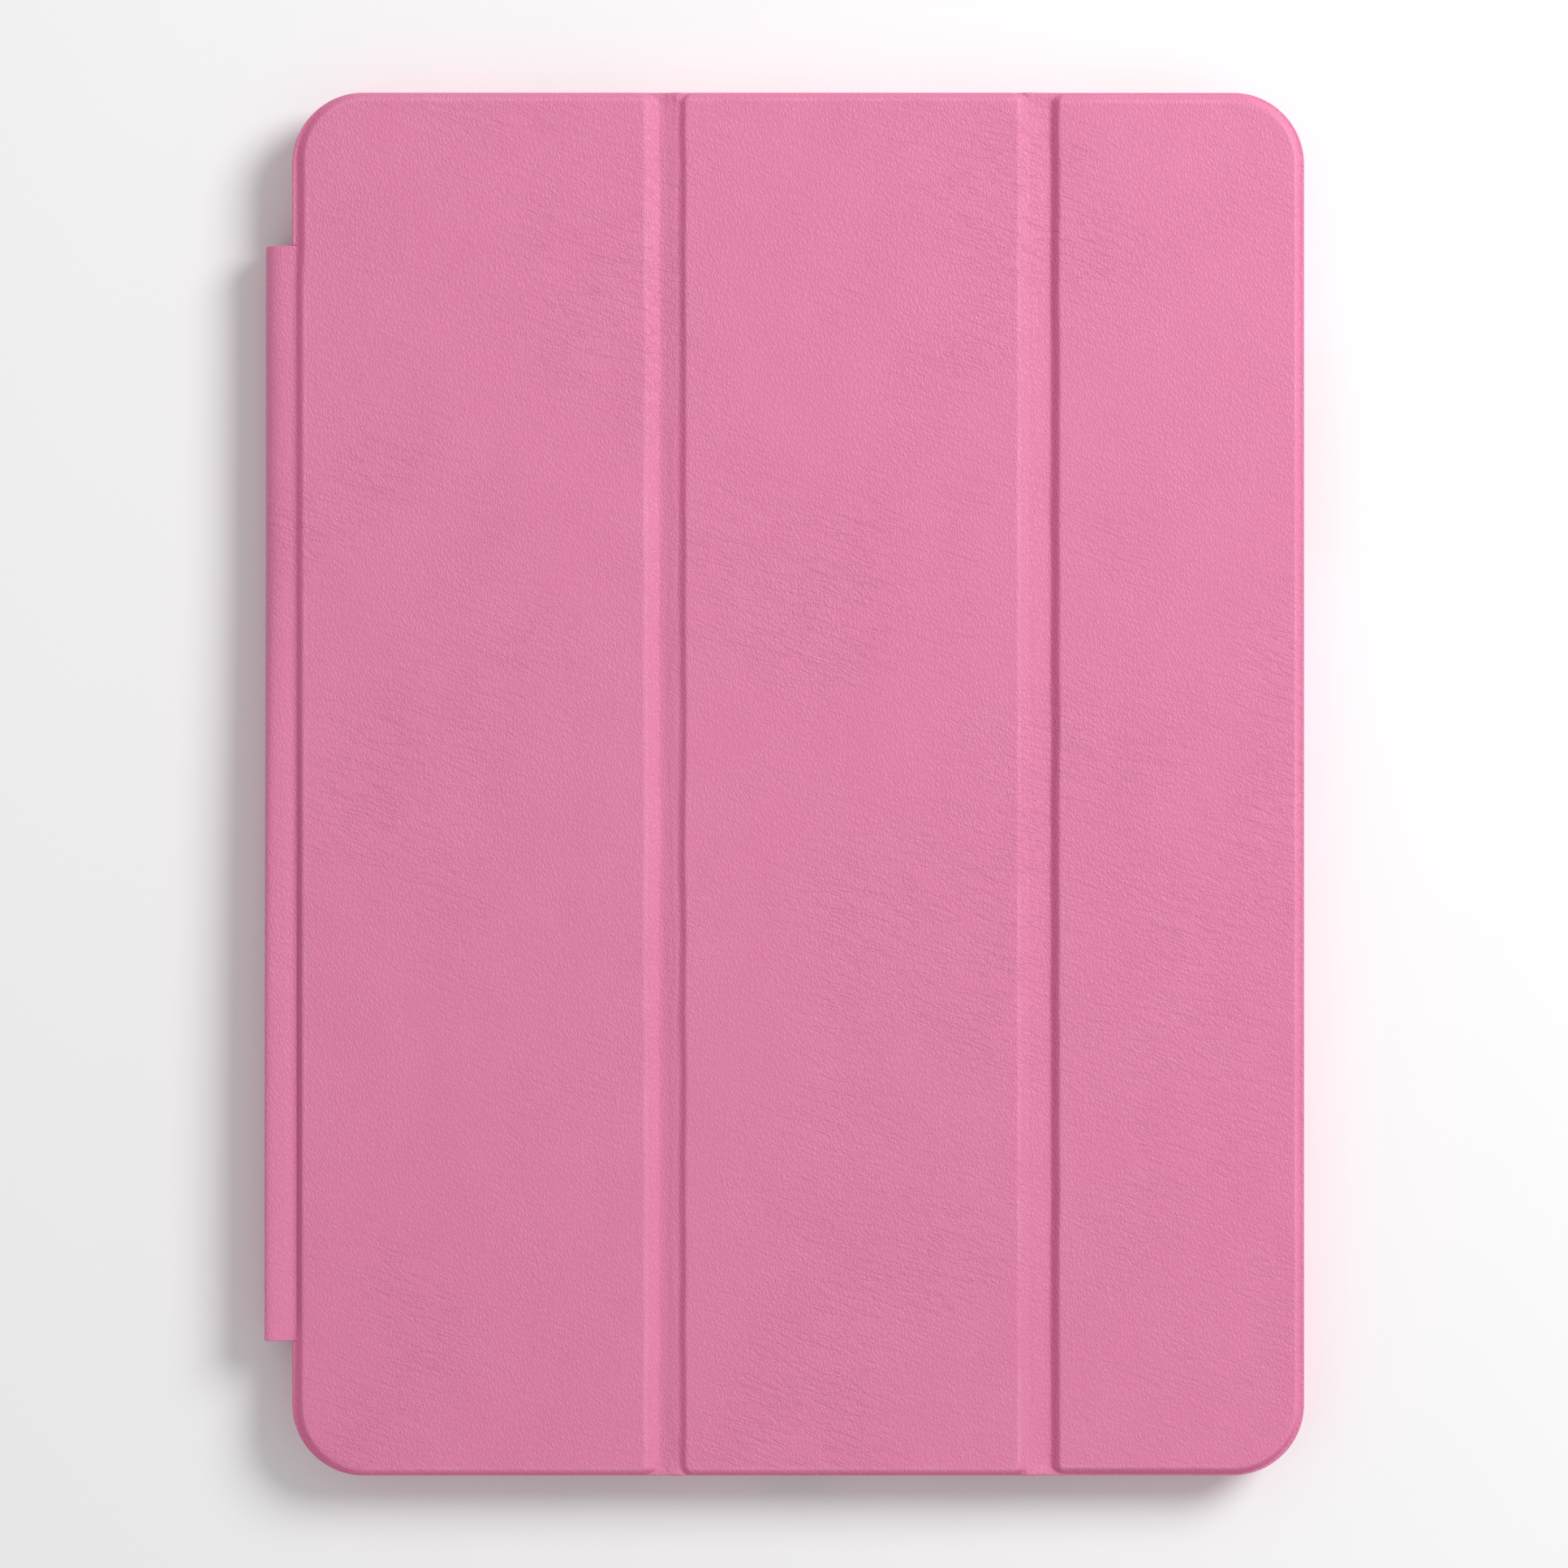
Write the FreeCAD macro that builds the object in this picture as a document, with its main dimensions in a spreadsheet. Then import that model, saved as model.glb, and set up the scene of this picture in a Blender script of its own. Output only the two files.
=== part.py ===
import FreeCAD, Part

import math
import os

import Sketcher

# Folding case for an 11 inch class tablet. A moulded tray holds the tablet; a cover of three stiff panels
# lies over the screen and is joined to the tray by a soft half-round spine strip.
# X runs across the case, with the spine at -X; Y runs along the spine; Z is up, with the case on its back.
# The origin is the middle of the whole case's footprint, on the surface that the case lies on.
# The outer leather and the lining are each one sheet on the real case. They are divided here at every fold,
# into stiff stretches and the soft strips that bend between them.

DRIVING_SIZES = (
    ("tablet_width", 178.5, "tablet that the tray holds, across"),
    ("tablet_length", 247.6, "tablet that the tray holds, along the spine"),
    ("tablet_play", 0.25, "gap between the tablet's edge and the tray's wall"),
    ("bay_depth", 6.2, "room for the tablet between the tray's lining and its lips"),
    ("bay_corner", 10.5, "corner radius inside the tray's walls"),
    ("cover_width", 184.6, "cover, from its hinge edge to its free edge"),
    ("cover_length", 252.2, "cover, along the spine"),
    ("cover_corner", 13.0, "corner radius of the cover"),
    ("cover_gap", 0.1, "gap between the tray's lips and the closed cover"),
    ("free_overhang", 0.6, "how far the cover stands out past the tray at its free edge"),
    ("end_overhang", 0.3, "how far the cover stands out past the tray at each end"),
    ("leather", 0.7, "leather of the cover and the spine"),
    ("lining", 0.4, "microfibre lining"),
    ("board", 1.0, "stiff board inside each panel"),
    ("tray_leather", 0.6, "leather on the back and the walls of the tray"),
    ("shell_floor", 1.2, "floor of the moulded tray"),
    ("lip_rise", 1.0, "thickness of the lips that hold the tablet down"),
    ("lip_reach", 0.9, "how far a lip reaches over the tablet"),
    ("lip_length", 34.0, "length of a corner lip along each wall"),
    ("rim", 0.3, "bare edge of the moulding above the leather on its walls"),
    ("hinge_flange", 0.5, "thin flat edge of the cover at the spine"),
    ("hinge_slope", 2.1, "slope from that edge up to the first panel"),
    ("free_flange", 1.1, "thin flat edge of the cover at its free side"),
    ("free_slope", 1.0, "slope from the third panel down to that edge"),
    ("end_flange", 0.3, "thin flat edge of the cover at each end"),
    ("end_slope", 0.9, "slope from a panel down to that edge"),
    ("fold_flange", 0.2, "flat leather between a bending strip and the slope beside it"),
    ("fold_one_axis", 68.5, "middle of the first fold, from the hinge edge"),
    ("fold_one_strip", 2.7, "width of the strip that bends in the first fold"),
    ("fold_two_axis", 136.2, "middle of the second fold, from the hinge edge"),
    ("fold_two_strip", 3.1, "width of the strip that bends in the second fold"),
    ("panel_one_slope", 3.0, "slope of the first panel into the first fold"),
    ("panel_two_slope", 2.4, "slopes of the second panel into both folds"),
    ("panel_three_slope", 2.8, "slope of the third panel into the second fold"),
    ("board_margin", 0.8, "share of each slope that the board stops short by"),
    ("board_bevel", 0.5, "bevel round the top of a board"),
    ("board_corner", 1.0, "corner radius of a board beside a fold"),
    ("spine_bulge", 5.2, "how far the closed spine stands out past the cover"),
    ("spine_length", 199.8, "length of the spine strip"),
    ("spine_shift", -1.7, "middle of the spine strip from the middle of the cover"),
    ("bend_sweep", 30.0, "arc, in degrees, of each of the spine's three bending strips"),
    ("magnet_width", 3.0, "bar magnets, across"),
    ("magnet_length", 20.0, "bar magnets, along the spine"),
    ("magnet_pitch", 52.0, "distance between neighbouring bar magnets"),
    ("magnet_inset", 4.5, "bar magnets' outer side from the edge of the cover"),
    ("wake_size", 6.0, "diameter of the wake magnet"),
    ("wake_inset", 24.0, "wake magnet from the cover's free edge"),
    ("wake_height", 58.0, "wake magnet from the middle of the cover"),
    ("window_size", 34.0, "side of the camera window"),
    ("window_corner", 9.0, "corner radius of the camera window"),
    ("window_inset", 5.5, "camera window from the outside of the tray"),
    ("port_width", 14.0, "charging port slot, across"),
    ("port_height", 5.0, "charging port slot, in height"),
    ("slot_rounding", 0.45, "corner radius of a wall slot, as a share of its height"),
    ("microphone", 2.0, "microphone hole"),
    ("speaker_width", 26.0, "speaker slot, across"),
    ("speaker_height", 2.0, "speaker slot, in height"),
    ("speaker_offset", 38.0, "middle of a speaker slot from the middle of the wall"),
    ("notch_floor", 1.2, "bottom of the button notches above the tray's lining"),
    ("power_width", 22.0, "notch for the power button"),
    ("power_offset", 66.0, "middle of the power notch from the middle of the wall"),
    ("volume_width", 38.0, "notch for the volume buttons"),
    ("volume_offset", 62.0, "middle of the volume notch from the middle of the wall"),
    ("cut_through", 12.0, "depth of a cut that runs well past both faces of what it opens"),
)

doc = FreeCAD.newDocument("tablet_case")
sizes = doc.addObject("Spreadsheet::Sheet", "sizes")
for row, (alias, number, meaning) in enumerate(DRIVING_SIZES, start=1):
    sizes.set(f"A{row}", meaning)
    sizes.set(f"B{row}", str(number))
    sizes.setAlias(f"B{row}", alias)
doc.recompute()

# Places that several pieces share, as expressions on the sheet. Across the case they count from X = 0.
COVER_LEFT = "(sizes.spine_bulge - sizes.cover_width) / 2"
COVER_FRONT = "-sizes.cover_length / 2"
TRAY_WIDTH = "(sizes.cover_width - sizes.free_overhang)"
TRAY_LENGTH = "(sizes.cover_length - 2 * sizes.end_overhang)"
TRAY_CORNER = "(sizes.cover_corner - sizes.end_overhang)"
TRAY_FRONT = f"-{TRAY_LENGTH} / 2"
TRAY_MIDDLE = f"({COVER_LEFT} + {TRAY_WIDTH} / 2)"
SHELL_CORNER = f"({TRAY_CORNER} - sizes.tray_leather)"
BAY_WIDTH = "(sizes.tablet_width + 2 * sizes.tablet_play)"
BAY_LENGTH = "(sizes.tablet_length + 2 * sizes.tablet_play)"
FLOOR_TOP = "(sizes.tray_leather + sizes.shell_floor)"
BAY_FLOOR = f"({FLOOR_TOP} + sizes.lining)"
LIP_UNDERSIDE = f"({BAY_FLOOR} + sizes.bay_depth)"
TRAY_TOP = f"({LIP_UNDERSIDE} + sizes.lip_rise)"
COVER_UNDERSIDE = f"({TRAY_TOP} + sizes.cover_gap)"
BOARD_UNDERSIDE = f"({COVER_UNDERSIDE} + sizes.lining)"
SPINE_MIDDLE = f"({BOARD_UNDERSIDE} + sizes.leather - sizes.spine_bulge)"
CUT_THROUGH = "sizes.cut_through"

nodes = {}


def value(expression):
    """The number that an expression on the sheet stands for."""
    return float(sizes.evalExpression(expression))


def place(piece, left, front, bottom, rotation=None):
    """Stand a piece at three expressions on the sheet, turned if a rotation is given."""
    if rotation is not None:
        piece.Placement = FreeCAD.Placement(FreeCAD.Vector(), rotation)
    piece.setExpression("Placement.Base.x", left)
    piece.setExpression("Placement.Base.y", front)
    piece.setExpression("Placement.Base.z", bottom)
    return piece


def node(label, piece):
    """Name a finished piece, so that it is written as a node of that name."""
    piece.Label = label
    nodes[label] = piece
    return piece


def origin_plane(body, role):
    return next(plane for plane in body.Origin.OriginFeatures if plane.Role == role)


def draw_outline(sketch, width, length, left_radius, right_radius):
    """A rectangle from the sketch's origin, whose left and right corners can each be rounded."""
    across = value(width)
    along = value(length)
    radius_of = (left_radius, right_radius, right_radius, left_radius)
    radii = [value(radius) if radius else 0.0 for radius in radius_of]
    corners = ((0, 0), (across, 0), (across, along), (0, along))
    headings = ((1, 0), (0, 1), (-1, 0), (0, -1))
    sides = range(4)
    for side in sides:
        heading = FreeCAD.Vector(*headings[side])
        start = FreeCAD.Vector(*corners[side]) + heading * radii[side]
        end = FreeCAD.Vector(*corners[(side + 1) % 4]) - heading * radii[(side + 1) % 4]
        sketch.addGeometry(Part.LineSegment(start, end))
    for side in sides:
        kind = "Horizontal" if headings[side][0] else "Vertical"
        sketch.addConstraint(Sketcher.Constraint(kind, side))
    for corner in sides:
        before = (corner - 1) % 4
        if not radii[corner]:
            sketch.addConstraint(Sketcher.Constraint("Coincident", before, 2, corner, 1))
            continue
        inward = FreeCAD.Vector(*headings[corner]) - FreeCAD.Vector(*headings[before])
        centre = FreeCAD.Vector(*corners[corner]) + inward * radii[corner]
        circle = Part.Circle(centre, FreeCAD.Vector(0, 0, 1), radii[corner])
        first = math.radians(180 + 90 * corner)
        arc = sketch.addGeometry(Part.ArcOfCircle(circle, first, first + math.pi / 2))
        sketch.addConstraint(Sketcher.Constraint("Tangent", before, 2, arc, 1))
        sketch.addConstraint(Sketcher.Constraint("Tangent", arc, 2, corner, 1))
        radius = sketch.addConstraint(Sketcher.Constraint("Radius", arc, radii[corner]))
        sketch.setExpression(f"Constraints[{radius}]", radius_of[corner])
    sketch.addConstraint(Sketcher.Constraint("PointOnObject", 0, 1, -1))
    sketch.addConstraint(Sketcher.Constraint("PointOnObject", 3, 1, -2))
    wide = sketch.addConstraint(Sketcher.Constraint("DistanceX", 3, 1, 1, 1, across))
    sketch.setExpression(f"Constraints[{wide}]", width)
    long = sketch.addConstraint(Sketcher.Constraint("DistanceY", 0, 1, 2, 1, along))
    sketch.setExpression(f"Constraints[{long}]", length)


def plate(name, width, length, thickness, left_radius=None, right_radius=None, bevel=None):
    """A flat piece padded up from its outline, with an optional bevel round its top."""
    body = doc.addObject("PartDesign::Body", name)
    outline = body.newObject("Sketcher::SketchObject", name + "_outline")
    outline.AttachmentSupport = [(origin_plane(body, "XY_Plane"), "")]
    outline.MapMode = "FlatFace"
    draw_outline(outline, width, length, left_radius, right_radius)
    pad = body.newObject("PartDesign::Pad", name + "_pad")
    pad.Profile = outline
    pad.setExpression("Length", thickness)
    if bevel:
        doc.recompute()
        top = value(thickness)
        on_top = [
            f"Edge{number}"
            for number, edge in enumerate(pad.Shape.Edges, start=1)
            if all(abs(vertex.Z - top) < 1e-6 for vertex in edge.Vertexes)
        ]
        chamfer = body.newObject("PartDesign::Chamfer", name + "_bevel")
        chamfer.Base = (pad, on_top)
        chamfer.setExpression("Size", bevel)
    return body


def box(name, width, length, height):
    solid = doc.addObject("Part::Box", name)
    solid.setExpression("Length", width)
    solid.setExpression("Width", length)
    solid.setExpression("Height", height)
    return solid


def fuse(name, pieces):
    joined = doc.addObject("Part::MultiFuse", name)
    joined.Shapes = pieces
    return joined


def common(name, base, tool):
    """What the base and the tool share."""
    result = doc.addObject("Part::Common", name)
    result.Base = base
    result.Tool = tool
    return result


def cut(name, base, tools):
    """The base without the tools."""
    result = doc.addObject("Part::Cut", name)
    result.Base = base
    result.Tool = tools[0] if len(tools) == 1 else fuse(name + "_tools", tools)
    return result


# ---- tray: back leather, moulded shell, leather on the walls, lining on the floor ----


def tray_plate(name, inset, bottom, thickness, corner):
    """A plate centred on the tray, inset from the tray's outside by the same distance all round."""
    body = plate(
        name,
        f"{TRAY_WIDTH} - 2 * {inset}",
        f"{TRAY_LENGTH} - 2 * {inset}",
        thickness,
        corner,
        corner,
    )
    return place(body, f"{COVER_LEFT} + {inset}", f"{TRAY_FRONT} + {inset}", bottom)


def bay_plate(name, reach, bottom, thickness):
    """A plate in the tablet's bay, smaller all round by the given reach."""
    corner = f"sizes.bay_corner - {reach}"
    body = plate(name, f"{BAY_WIDTH} - 2 * {reach}", f"{BAY_LENGTH} - 2 * {reach}", thickness, corner, corner)
    left = f"{TRAY_MIDDLE} - {BAY_WIDTH} / 2 + {reach}"
    return place(body, left, f"-{BAY_LENGTH} / 2 + {reach}", bottom)


def zone(name, width, length):
    """A box through the middle of the tray, as tall as its walls and higher."""
    middle = box(name, width, length, CUT_THROUGH)
    return place(middle, f"{TRAY_MIDDLE} - ({width}) / 2", f"-({length}) / 2", FLOOR_TOP)


def end_wall_slot(name, side, offset, width, height, middle):
    """A round-ended slot through the wall at one end of the tray. side is -1 or 1 along Y."""
    radius = f"sizes.slot_rounding * {height}"
    slot = plate(name, width, height, CUT_THROUGH, radius, radius)
    left = f"{TRAY_MIDDLE} + {offset} - ({width}) / 2"
    wall = f"{side} * {TRAY_LENGTH} / 2 + {CUT_THROUGH} / 2"
    upright = FreeCAD.Rotation(FreeCAD.Vector(1, 0, 0), 90)
    return place(slot, left, wall, f"{middle} - ({height}) / 2", upright)


PORT_HEIGHT = f"({BAY_FLOOR} + sizes.bay_depth / 2)"
NOTCH_BOTTOM = f"({BAY_FLOOR} + sizes.notch_floor)"

camera_window = plate(
    "camera_window",
    "sizes.window_size",
    "sizes.window_size",
    CUT_THROUGH,
    "sizes.window_corner",
    "sizes.window_corner",
)
place(
    camera_window,
    f"{COVER_LEFT} + {TRAY_WIDTH} - sizes.window_inset - sizes.window_size",
    f"{TRAY_LENGTH} / 2 - sizes.window_inset - sizes.window_size",
    f"-{CUT_THROUGH} / 2",
)
port_slot = end_wall_slot("port_slot", -1, "0", "sizes.port_width", "sizes.port_height", PORT_HEIGHT)
microphone_hole = end_wall_slot(
    "microphone_hole",
    1,
    "0",
    "sizes.microphone",
    "sizes.microphone",
    PORT_HEIGHT,
)
speaker_slots = [
    end_wall_slot(
        f"speaker_slot_{number}",
        end,
        f"{side} * sizes.speaker_offset",
        "sizes.speaker_width",
        "sizes.speaker_height",
        PORT_HEIGHT,
    )
    for number, (end, side) in enumerate(((-1, -1), (-1, 1), (1, -1), (1, 1)), start=1)
]
power_notch = box("power_notch", "sizes.power_width", CUT_THROUGH, CUT_THROUGH)
place(
    power_notch,
    f"{TRAY_MIDDLE} + sizes.power_offset - sizes.power_width / 2",
    f"{TRAY_LENGTH} / 2 - {CUT_THROUGH} / 2",
    NOTCH_BOTTOM,
)
volume_notch = box("volume_notch", CUT_THROUGH, "sizes.volume_width", CUT_THROUGH)
place(
    volume_notch,
    f"{COVER_LEFT} + {TRAY_WIDTH} - {CUT_THROUGH} / 2",
    "sizes.volume_offset - sizes.volume_width / 2",
    NOTCH_BOTTOM,
)
wall_openings = [port_slot, microphone_hole, *speaker_slots, power_notch, volume_notch]

back_block = tray_plate("back_block", "0", "0", "sizes.tray_leather", TRAY_CORNER)
node("back_skin", cut("back_skin", back_block, [camera_window]))

shell_block = tray_plate(
    "shell_block",
    "sizes.tray_leather",
    "sizes.tray_leather",
    f"{TRAY_TOP} - sizes.tray_leather",
    SHELL_CORNER,
)
wall_block = tray_plate(
    "wall_block",
    "0",
    "sizes.tray_leather",
    f"{TRAY_TOP} - sizes.tray_leather - sizes.rim",
    TRAY_CORNER,
)
node("side_skin", cut("side_skin", wall_block, [shell_block, *wall_openings]))

# the moulding: a floor, four corners with lips over the tablet, and low rails between the corners
floor_block = tray_plate(
    "floor_block",
    "sizes.tray_leather",
    "sizes.tray_leather",
    "sizes.shell_floor",
    SHELL_CORNER,
)
node("tray_floor", cut("tray_floor", floor_block, [camera_window]))

ring_block = tray_plate(
    "ring_block",
    "sizes.tray_leather",
    FLOOR_TOP,
    f"{TRAY_TOP} - {FLOOR_TOP}",
    SHELL_CORNER,
)
bay = bay_plate("bay", "0", FLOOR_TOP, "sizes.lining + sizes.bay_depth")
mouth = bay_plate("mouth", "sizes.lip_reach", LIP_UNDERSIDE, CUT_THROUGH)
open_bay = bay_plate("open_bay", "0", FLOOR_TOP, CUT_THROUGH)
side_zone = zone("side_zone", "sizes.cover_width", f"{BAY_LENGTH} - 2 * sizes.lip_length")
end_zone = zone("end_zone", f"{BAY_WIDTH} - 2 * sizes.lip_length", "sizes.cover_length")
lipped_ring = cut("lipped_ring", ring_block, [bay, mouth, *wall_openings])
plain_ring = cut("plain_ring", ring_block, [open_bay, *wall_openings])
node("tray_corners", cut("tray_corners", lipped_ring, [side_zone, end_zone]))
node("tray_side_rails", common("tray_side_rails", plain_ring, side_zone))
node("tray_end_rails", common("tray_end_rails", plain_ring, end_zone))

lining_block = bay_plate("lining_block", "0", FLOOR_TOP, "sizes.lining")
node("tray_lining", cut("tray_lining", lining_block, [camera_window]))


# ---- spine: a half-round strip, stiff between three bends ----


def spine_arc(label, start, sweep, inner, outer):
    """A stretch of the half-round strip, from an angle above +X and on towards -X."""
    rotation = FreeCAD.Rotation(FreeCAD.Vector(1, 0, 0), 90)
    rotation = rotation * FreeCAD.Rotation(FreeCAD.Vector(0, 0, 1), start)
    rounds = []
    for name, radius in ((label + "_outside", outer), (label + "_inside", inner)):
        drum = doc.addObject("Part::Cylinder", name)
        drum.setExpression("Radius", radius)
        drum.setExpression("Height", "sizes.spine_length")
        place(drum, COVER_LEFT, "sizes.spine_shift + sizes.spine_length / 2", SPINE_MIDDLE, rotation)
        rounds.append(drum)
    rounds[0].setExpression("Angle", sweep)
    return node(label, cut(label, rounds[0], [rounds[1]]))


BEND = "sizes.bend_sweep"
STIFF = "(180 - 3 * sizes.bend_sweep) / 2"
bend = value(BEND)
stiff = value(STIFF)
STRETCHES = (
    ("cover_root", 90, BEND),
    ("spine_upper", 90 + bend, STIFF),
    ("spine_bend", 90 + bend + stiff, BEND),
    ("spine_lower", 90 + 2 * bend + stiff, STIFF),
    ("tray_root", 90 + 2 * bend + 2 * stiff, BEND),
)
for stretch, start, sweep in STRETCHES:
    leather_inside = "(sizes.spine_bulge - sizes.leather)"
    lining_inside = "(sizes.spine_bulge - sizes.leather - sizes.lining)"
    spine_arc(stretch + "_skin", start, sweep, leather_inside, "sizes.spine_bulge")
    spine_arc(stretch + "_lining", start, sweep, lining_inside, leather_inside)


# ---- cover: three panels of leather, board and lining, with magnets, and the strips between them ----


def magnet_row(label, left):
    """Four bar magnets in a line along the spine's direction, as one group."""
    bars = []
    for index in range(4):
        bar = box(f"{label}_{index + 1}", "sizes.magnet_width", "sizes.magnet_length", "sizes.board")
        front = f"{index - 1.5} * sizes.magnet_pitch - sizes.magnet_length / 2"
        bars.append(place(bar, left, front, BOARD_UNDERSIDE))
    row = doc.addObject("Part::Compound", label)
    row.Links = bars
    return node(label, row)


def panel(label, left, right, left_edge, right_edge, left_radius, right_radius, magnets):
    """One panel from left to right, counted from the hinge edge. An edge is (flange, slope)."""
    width = f"({right} - ({left}))"
    start = f"{COVER_LEFT} + {left}"
    left_flange, left_slope = left_edge
    right_flange, right_slope = right_edge

    lining = plate(
        label + "_lining_plate",
        width,
        "sizes.cover_length",
        "sizes.lining",
        left_radius,
        right_radius,
    )
    node(label + "_lining", place(lining, start, COVER_FRONT, COVER_UNDERSIDE))

    # the board ends under the slopes, and the magnets sit in holes through it
    left_gap = f"({left_flange} + sizes.board_margin * {left_slope})"
    right_gap = f"({right_flange} + sizes.board_margin * {right_slope})"
    end_gap = "(sizes.end_flange + sizes.board_margin * sizes.end_slope)"
    board = plate(
        label + "_board_plate",
        f"{width} - {left_gap} - {right_gap}",
        f"sizes.cover_length - 2 * {end_gap}",
        "sizes.board",
        f"({left_radius} - {left_gap})" if left_radius else "sizes.board_corner",
        f"({right_radius} - {right_gap})" if right_radius else "sizes.board_corner",
        bevel="sizes.board_bevel",
    )
    place(board, f"{start} + {left_gap}", f"{COVER_FRONT} + {end_gap}", BOARD_UNDERSIDE)
    if magnets:
        board = cut(label + "_board_cut", board, magnets)
    node(label + "_board", board)

    # the leather: a thin edge all round, and a raised field with its own slope on each side
    edge = box(label + "_edge", width, "sizes.cover_length", "sizes.leather")
    place(edge, start, COVER_FRONT, BOARD_UNDERSIDE)
    field = doc.addObject("Part::Wedge", label + "_field")
    reaches = {
        "Xmin": left_flange,
        "X2min": f"{left_flange} + {left_slope}",
        "Xmax": f"{width} - {right_flange}",
        "X2max": f"{width} - {right_flange} - {right_slope}",
        "Ymin": "0",
        "Ymax": "sizes.board",
        "Zmin": "sizes.end_flange",
        "Z2min": "sizes.end_flange + sizes.end_slope",
        "Zmax": "sizes.cover_length - sizes.end_flange",
        "Z2max": "sizes.cover_length - sizes.end_flange - sizes.end_slope",
    }
    for size, expression in reaches.items():
        field.setExpression(size, expression)
    upright = FreeCAD.Rotation(FreeCAD.Vector(1, 0, 0), 90)
    place(field, start, f"-{COVER_FRONT}", f"{BOARD_UNDERSIDE} + sizes.leather", upright)
    outline = plate(
        label + "_shape",
        width,
        "sizes.cover_length",
        "sizes.board + sizes.leather",
        left_radius,
        right_radius,
        bevel="sizes.end_slope",
    )
    place(outline, start, COVER_FRONT, BOARD_UNDERSIDE)
    form = common(label + "_form", fuse(label + "_raised", [edge, field]), outline)
    node(label + "_skin", cut(label + "_skin", form, [board, *magnets]))


def fold(label, axis, strip):
    """The leather and the lining that bend between two panels."""
    for layer, bottom, thickness in (
        ("_lining", COVER_UNDERSIDE, "sizes.lining"),
        ("_skin", BOARD_UNDERSIDE, "sizes.leather"),
    ):
        band = box(label + layer, strip, "sizes.cover_length", thickness)
        node(label + layer, place(band, f"{COVER_LEFT} + {axis} - {strip} / 2", COVER_FRONT, bottom))


stand_magnets = magnet_row("stand_magnets", f"{COVER_LEFT} + sizes.magnet_inset")
closing_left = f"{COVER_LEFT} + sizes.cover_width - sizes.magnet_inset - sizes.magnet_width"
closure_magnets = magnet_row("closure_magnets", closing_left)
wake_magnet = doc.addObject("Part::Cylinder", "wake_magnet")
wake_magnet.setExpression("Radius", "sizes.wake_size / 2")
wake_magnet.setExpression("Height", "sizes.board")
wake_left = f"{COVER_LEFT} + sizes.cover_width - sizes.wake_inset"
node("wake_magnet", place(wake_magnet, wake_left, "sizes.wake_height", BOARD_UNDERSIDE))

FOLD_ONE_START = "sizes.fold_one_axis - sizes.fold_one_strip / 2"
FOLD_ONE_END = "sizes.fold_one_axis + sizes.fold_one_strip / 2"
FOLD_TWO_START = "sizes.fold_two_axis - sizes.fold_two_strip / 2"
FOLD_TWO_END = "sizes.fold_two_axis + sizes.fold_two_strip / 2"
CORNER = "sizes.cover_corner"
panel(
    "panel_1",
    "0",
    FOLD_ONE_START,
    ("sizes.hinge_flange", "sizes.hinge_slope"),
    ("sizes.fold_flange", "sizes.panel_one_slope"),
    CORNER,
    None,
    [stand_magnets],
)
fold("fold_1", "sizes.fold_one_axis", "sizes.fold_one_strip")
panel(
    "panel_2",
    FOLD_ONE_END,
    FOLD_TWO_START,
    ("sizes.fold_flange", "sizes.panel_two_slope"),
    ("sizes.fold_flange", "sizes.panel_two_slope"),
    None,
    None,
    [],
)
fold("fold_2", "sizes.fold_two_axis", "sizes.fold_two_strip")
panel(
    "panel_3",
    FOLD_TWO_END,
    "sizes.cover_width",
    ("sizes.fold_flange", "sizes.panel_three_slope"),
    ("sizes.free_flange", "sizes.free_slope"),
    None,
    CORNER,
    [closure_magnets, wake_magnet],
)

# ---- check every object, then write one file for each node ----

doc.recompute()
for item in doc.Objects:
    faults = {"Invalid", "Error"} & set(item.State)
    if faults:
        raise RuntimeError(f"{item.Name} failed: {sorted(faults)}")
os.makedirs("parts", exist_ok=True)
for label, piece in nodes.items():
    if piece.Shape.isNull() or not piece.Shape.isValid():
        raise RuntimeError(f"{label} has no valid shape")
    if not piece.Shape.Solids:
        raise RuntimeError(f"{label} has no solid")
for label, piece in nodes.items():
    piece.Shape.exportStep(f"parts/{label}.step")
    bounds = piece.Shape.BoundBox
    print(
        f"{label:18s} solids {len(piece.Shape.Solids)} volume {piece.Shape.Volume:10.2f}",
        f"x {bounds.XMin:.2f} {bounds.XMax:.2f} y {bounds.YMin:.2f} {bounds.YMax:.2f}",
        f"z {bounds.ZMin:.2f} {bounds.ZMax:.2f}",
    )
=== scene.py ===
import math

import bmesh
import bpy
import numpy as np
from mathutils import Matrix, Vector, noise
from mathutils.geometry import delaunay_2d_cdt


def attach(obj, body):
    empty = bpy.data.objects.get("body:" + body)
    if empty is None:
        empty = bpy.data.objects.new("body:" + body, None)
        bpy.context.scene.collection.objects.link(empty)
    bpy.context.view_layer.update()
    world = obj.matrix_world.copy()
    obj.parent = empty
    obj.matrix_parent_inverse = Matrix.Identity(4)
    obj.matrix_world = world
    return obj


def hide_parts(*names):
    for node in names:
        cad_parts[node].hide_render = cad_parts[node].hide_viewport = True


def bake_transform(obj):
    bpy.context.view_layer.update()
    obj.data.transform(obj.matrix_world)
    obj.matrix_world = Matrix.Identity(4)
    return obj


# Looks of a folding tablet case: a soft leather cover with three boarded panels, a rolled spine and a
# leather-bound tray. X runs across the case with the spine at -X, Y along the spine, Z up. Lengths here are
# in millimetres and are turned into metres when a mesh is made.

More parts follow.
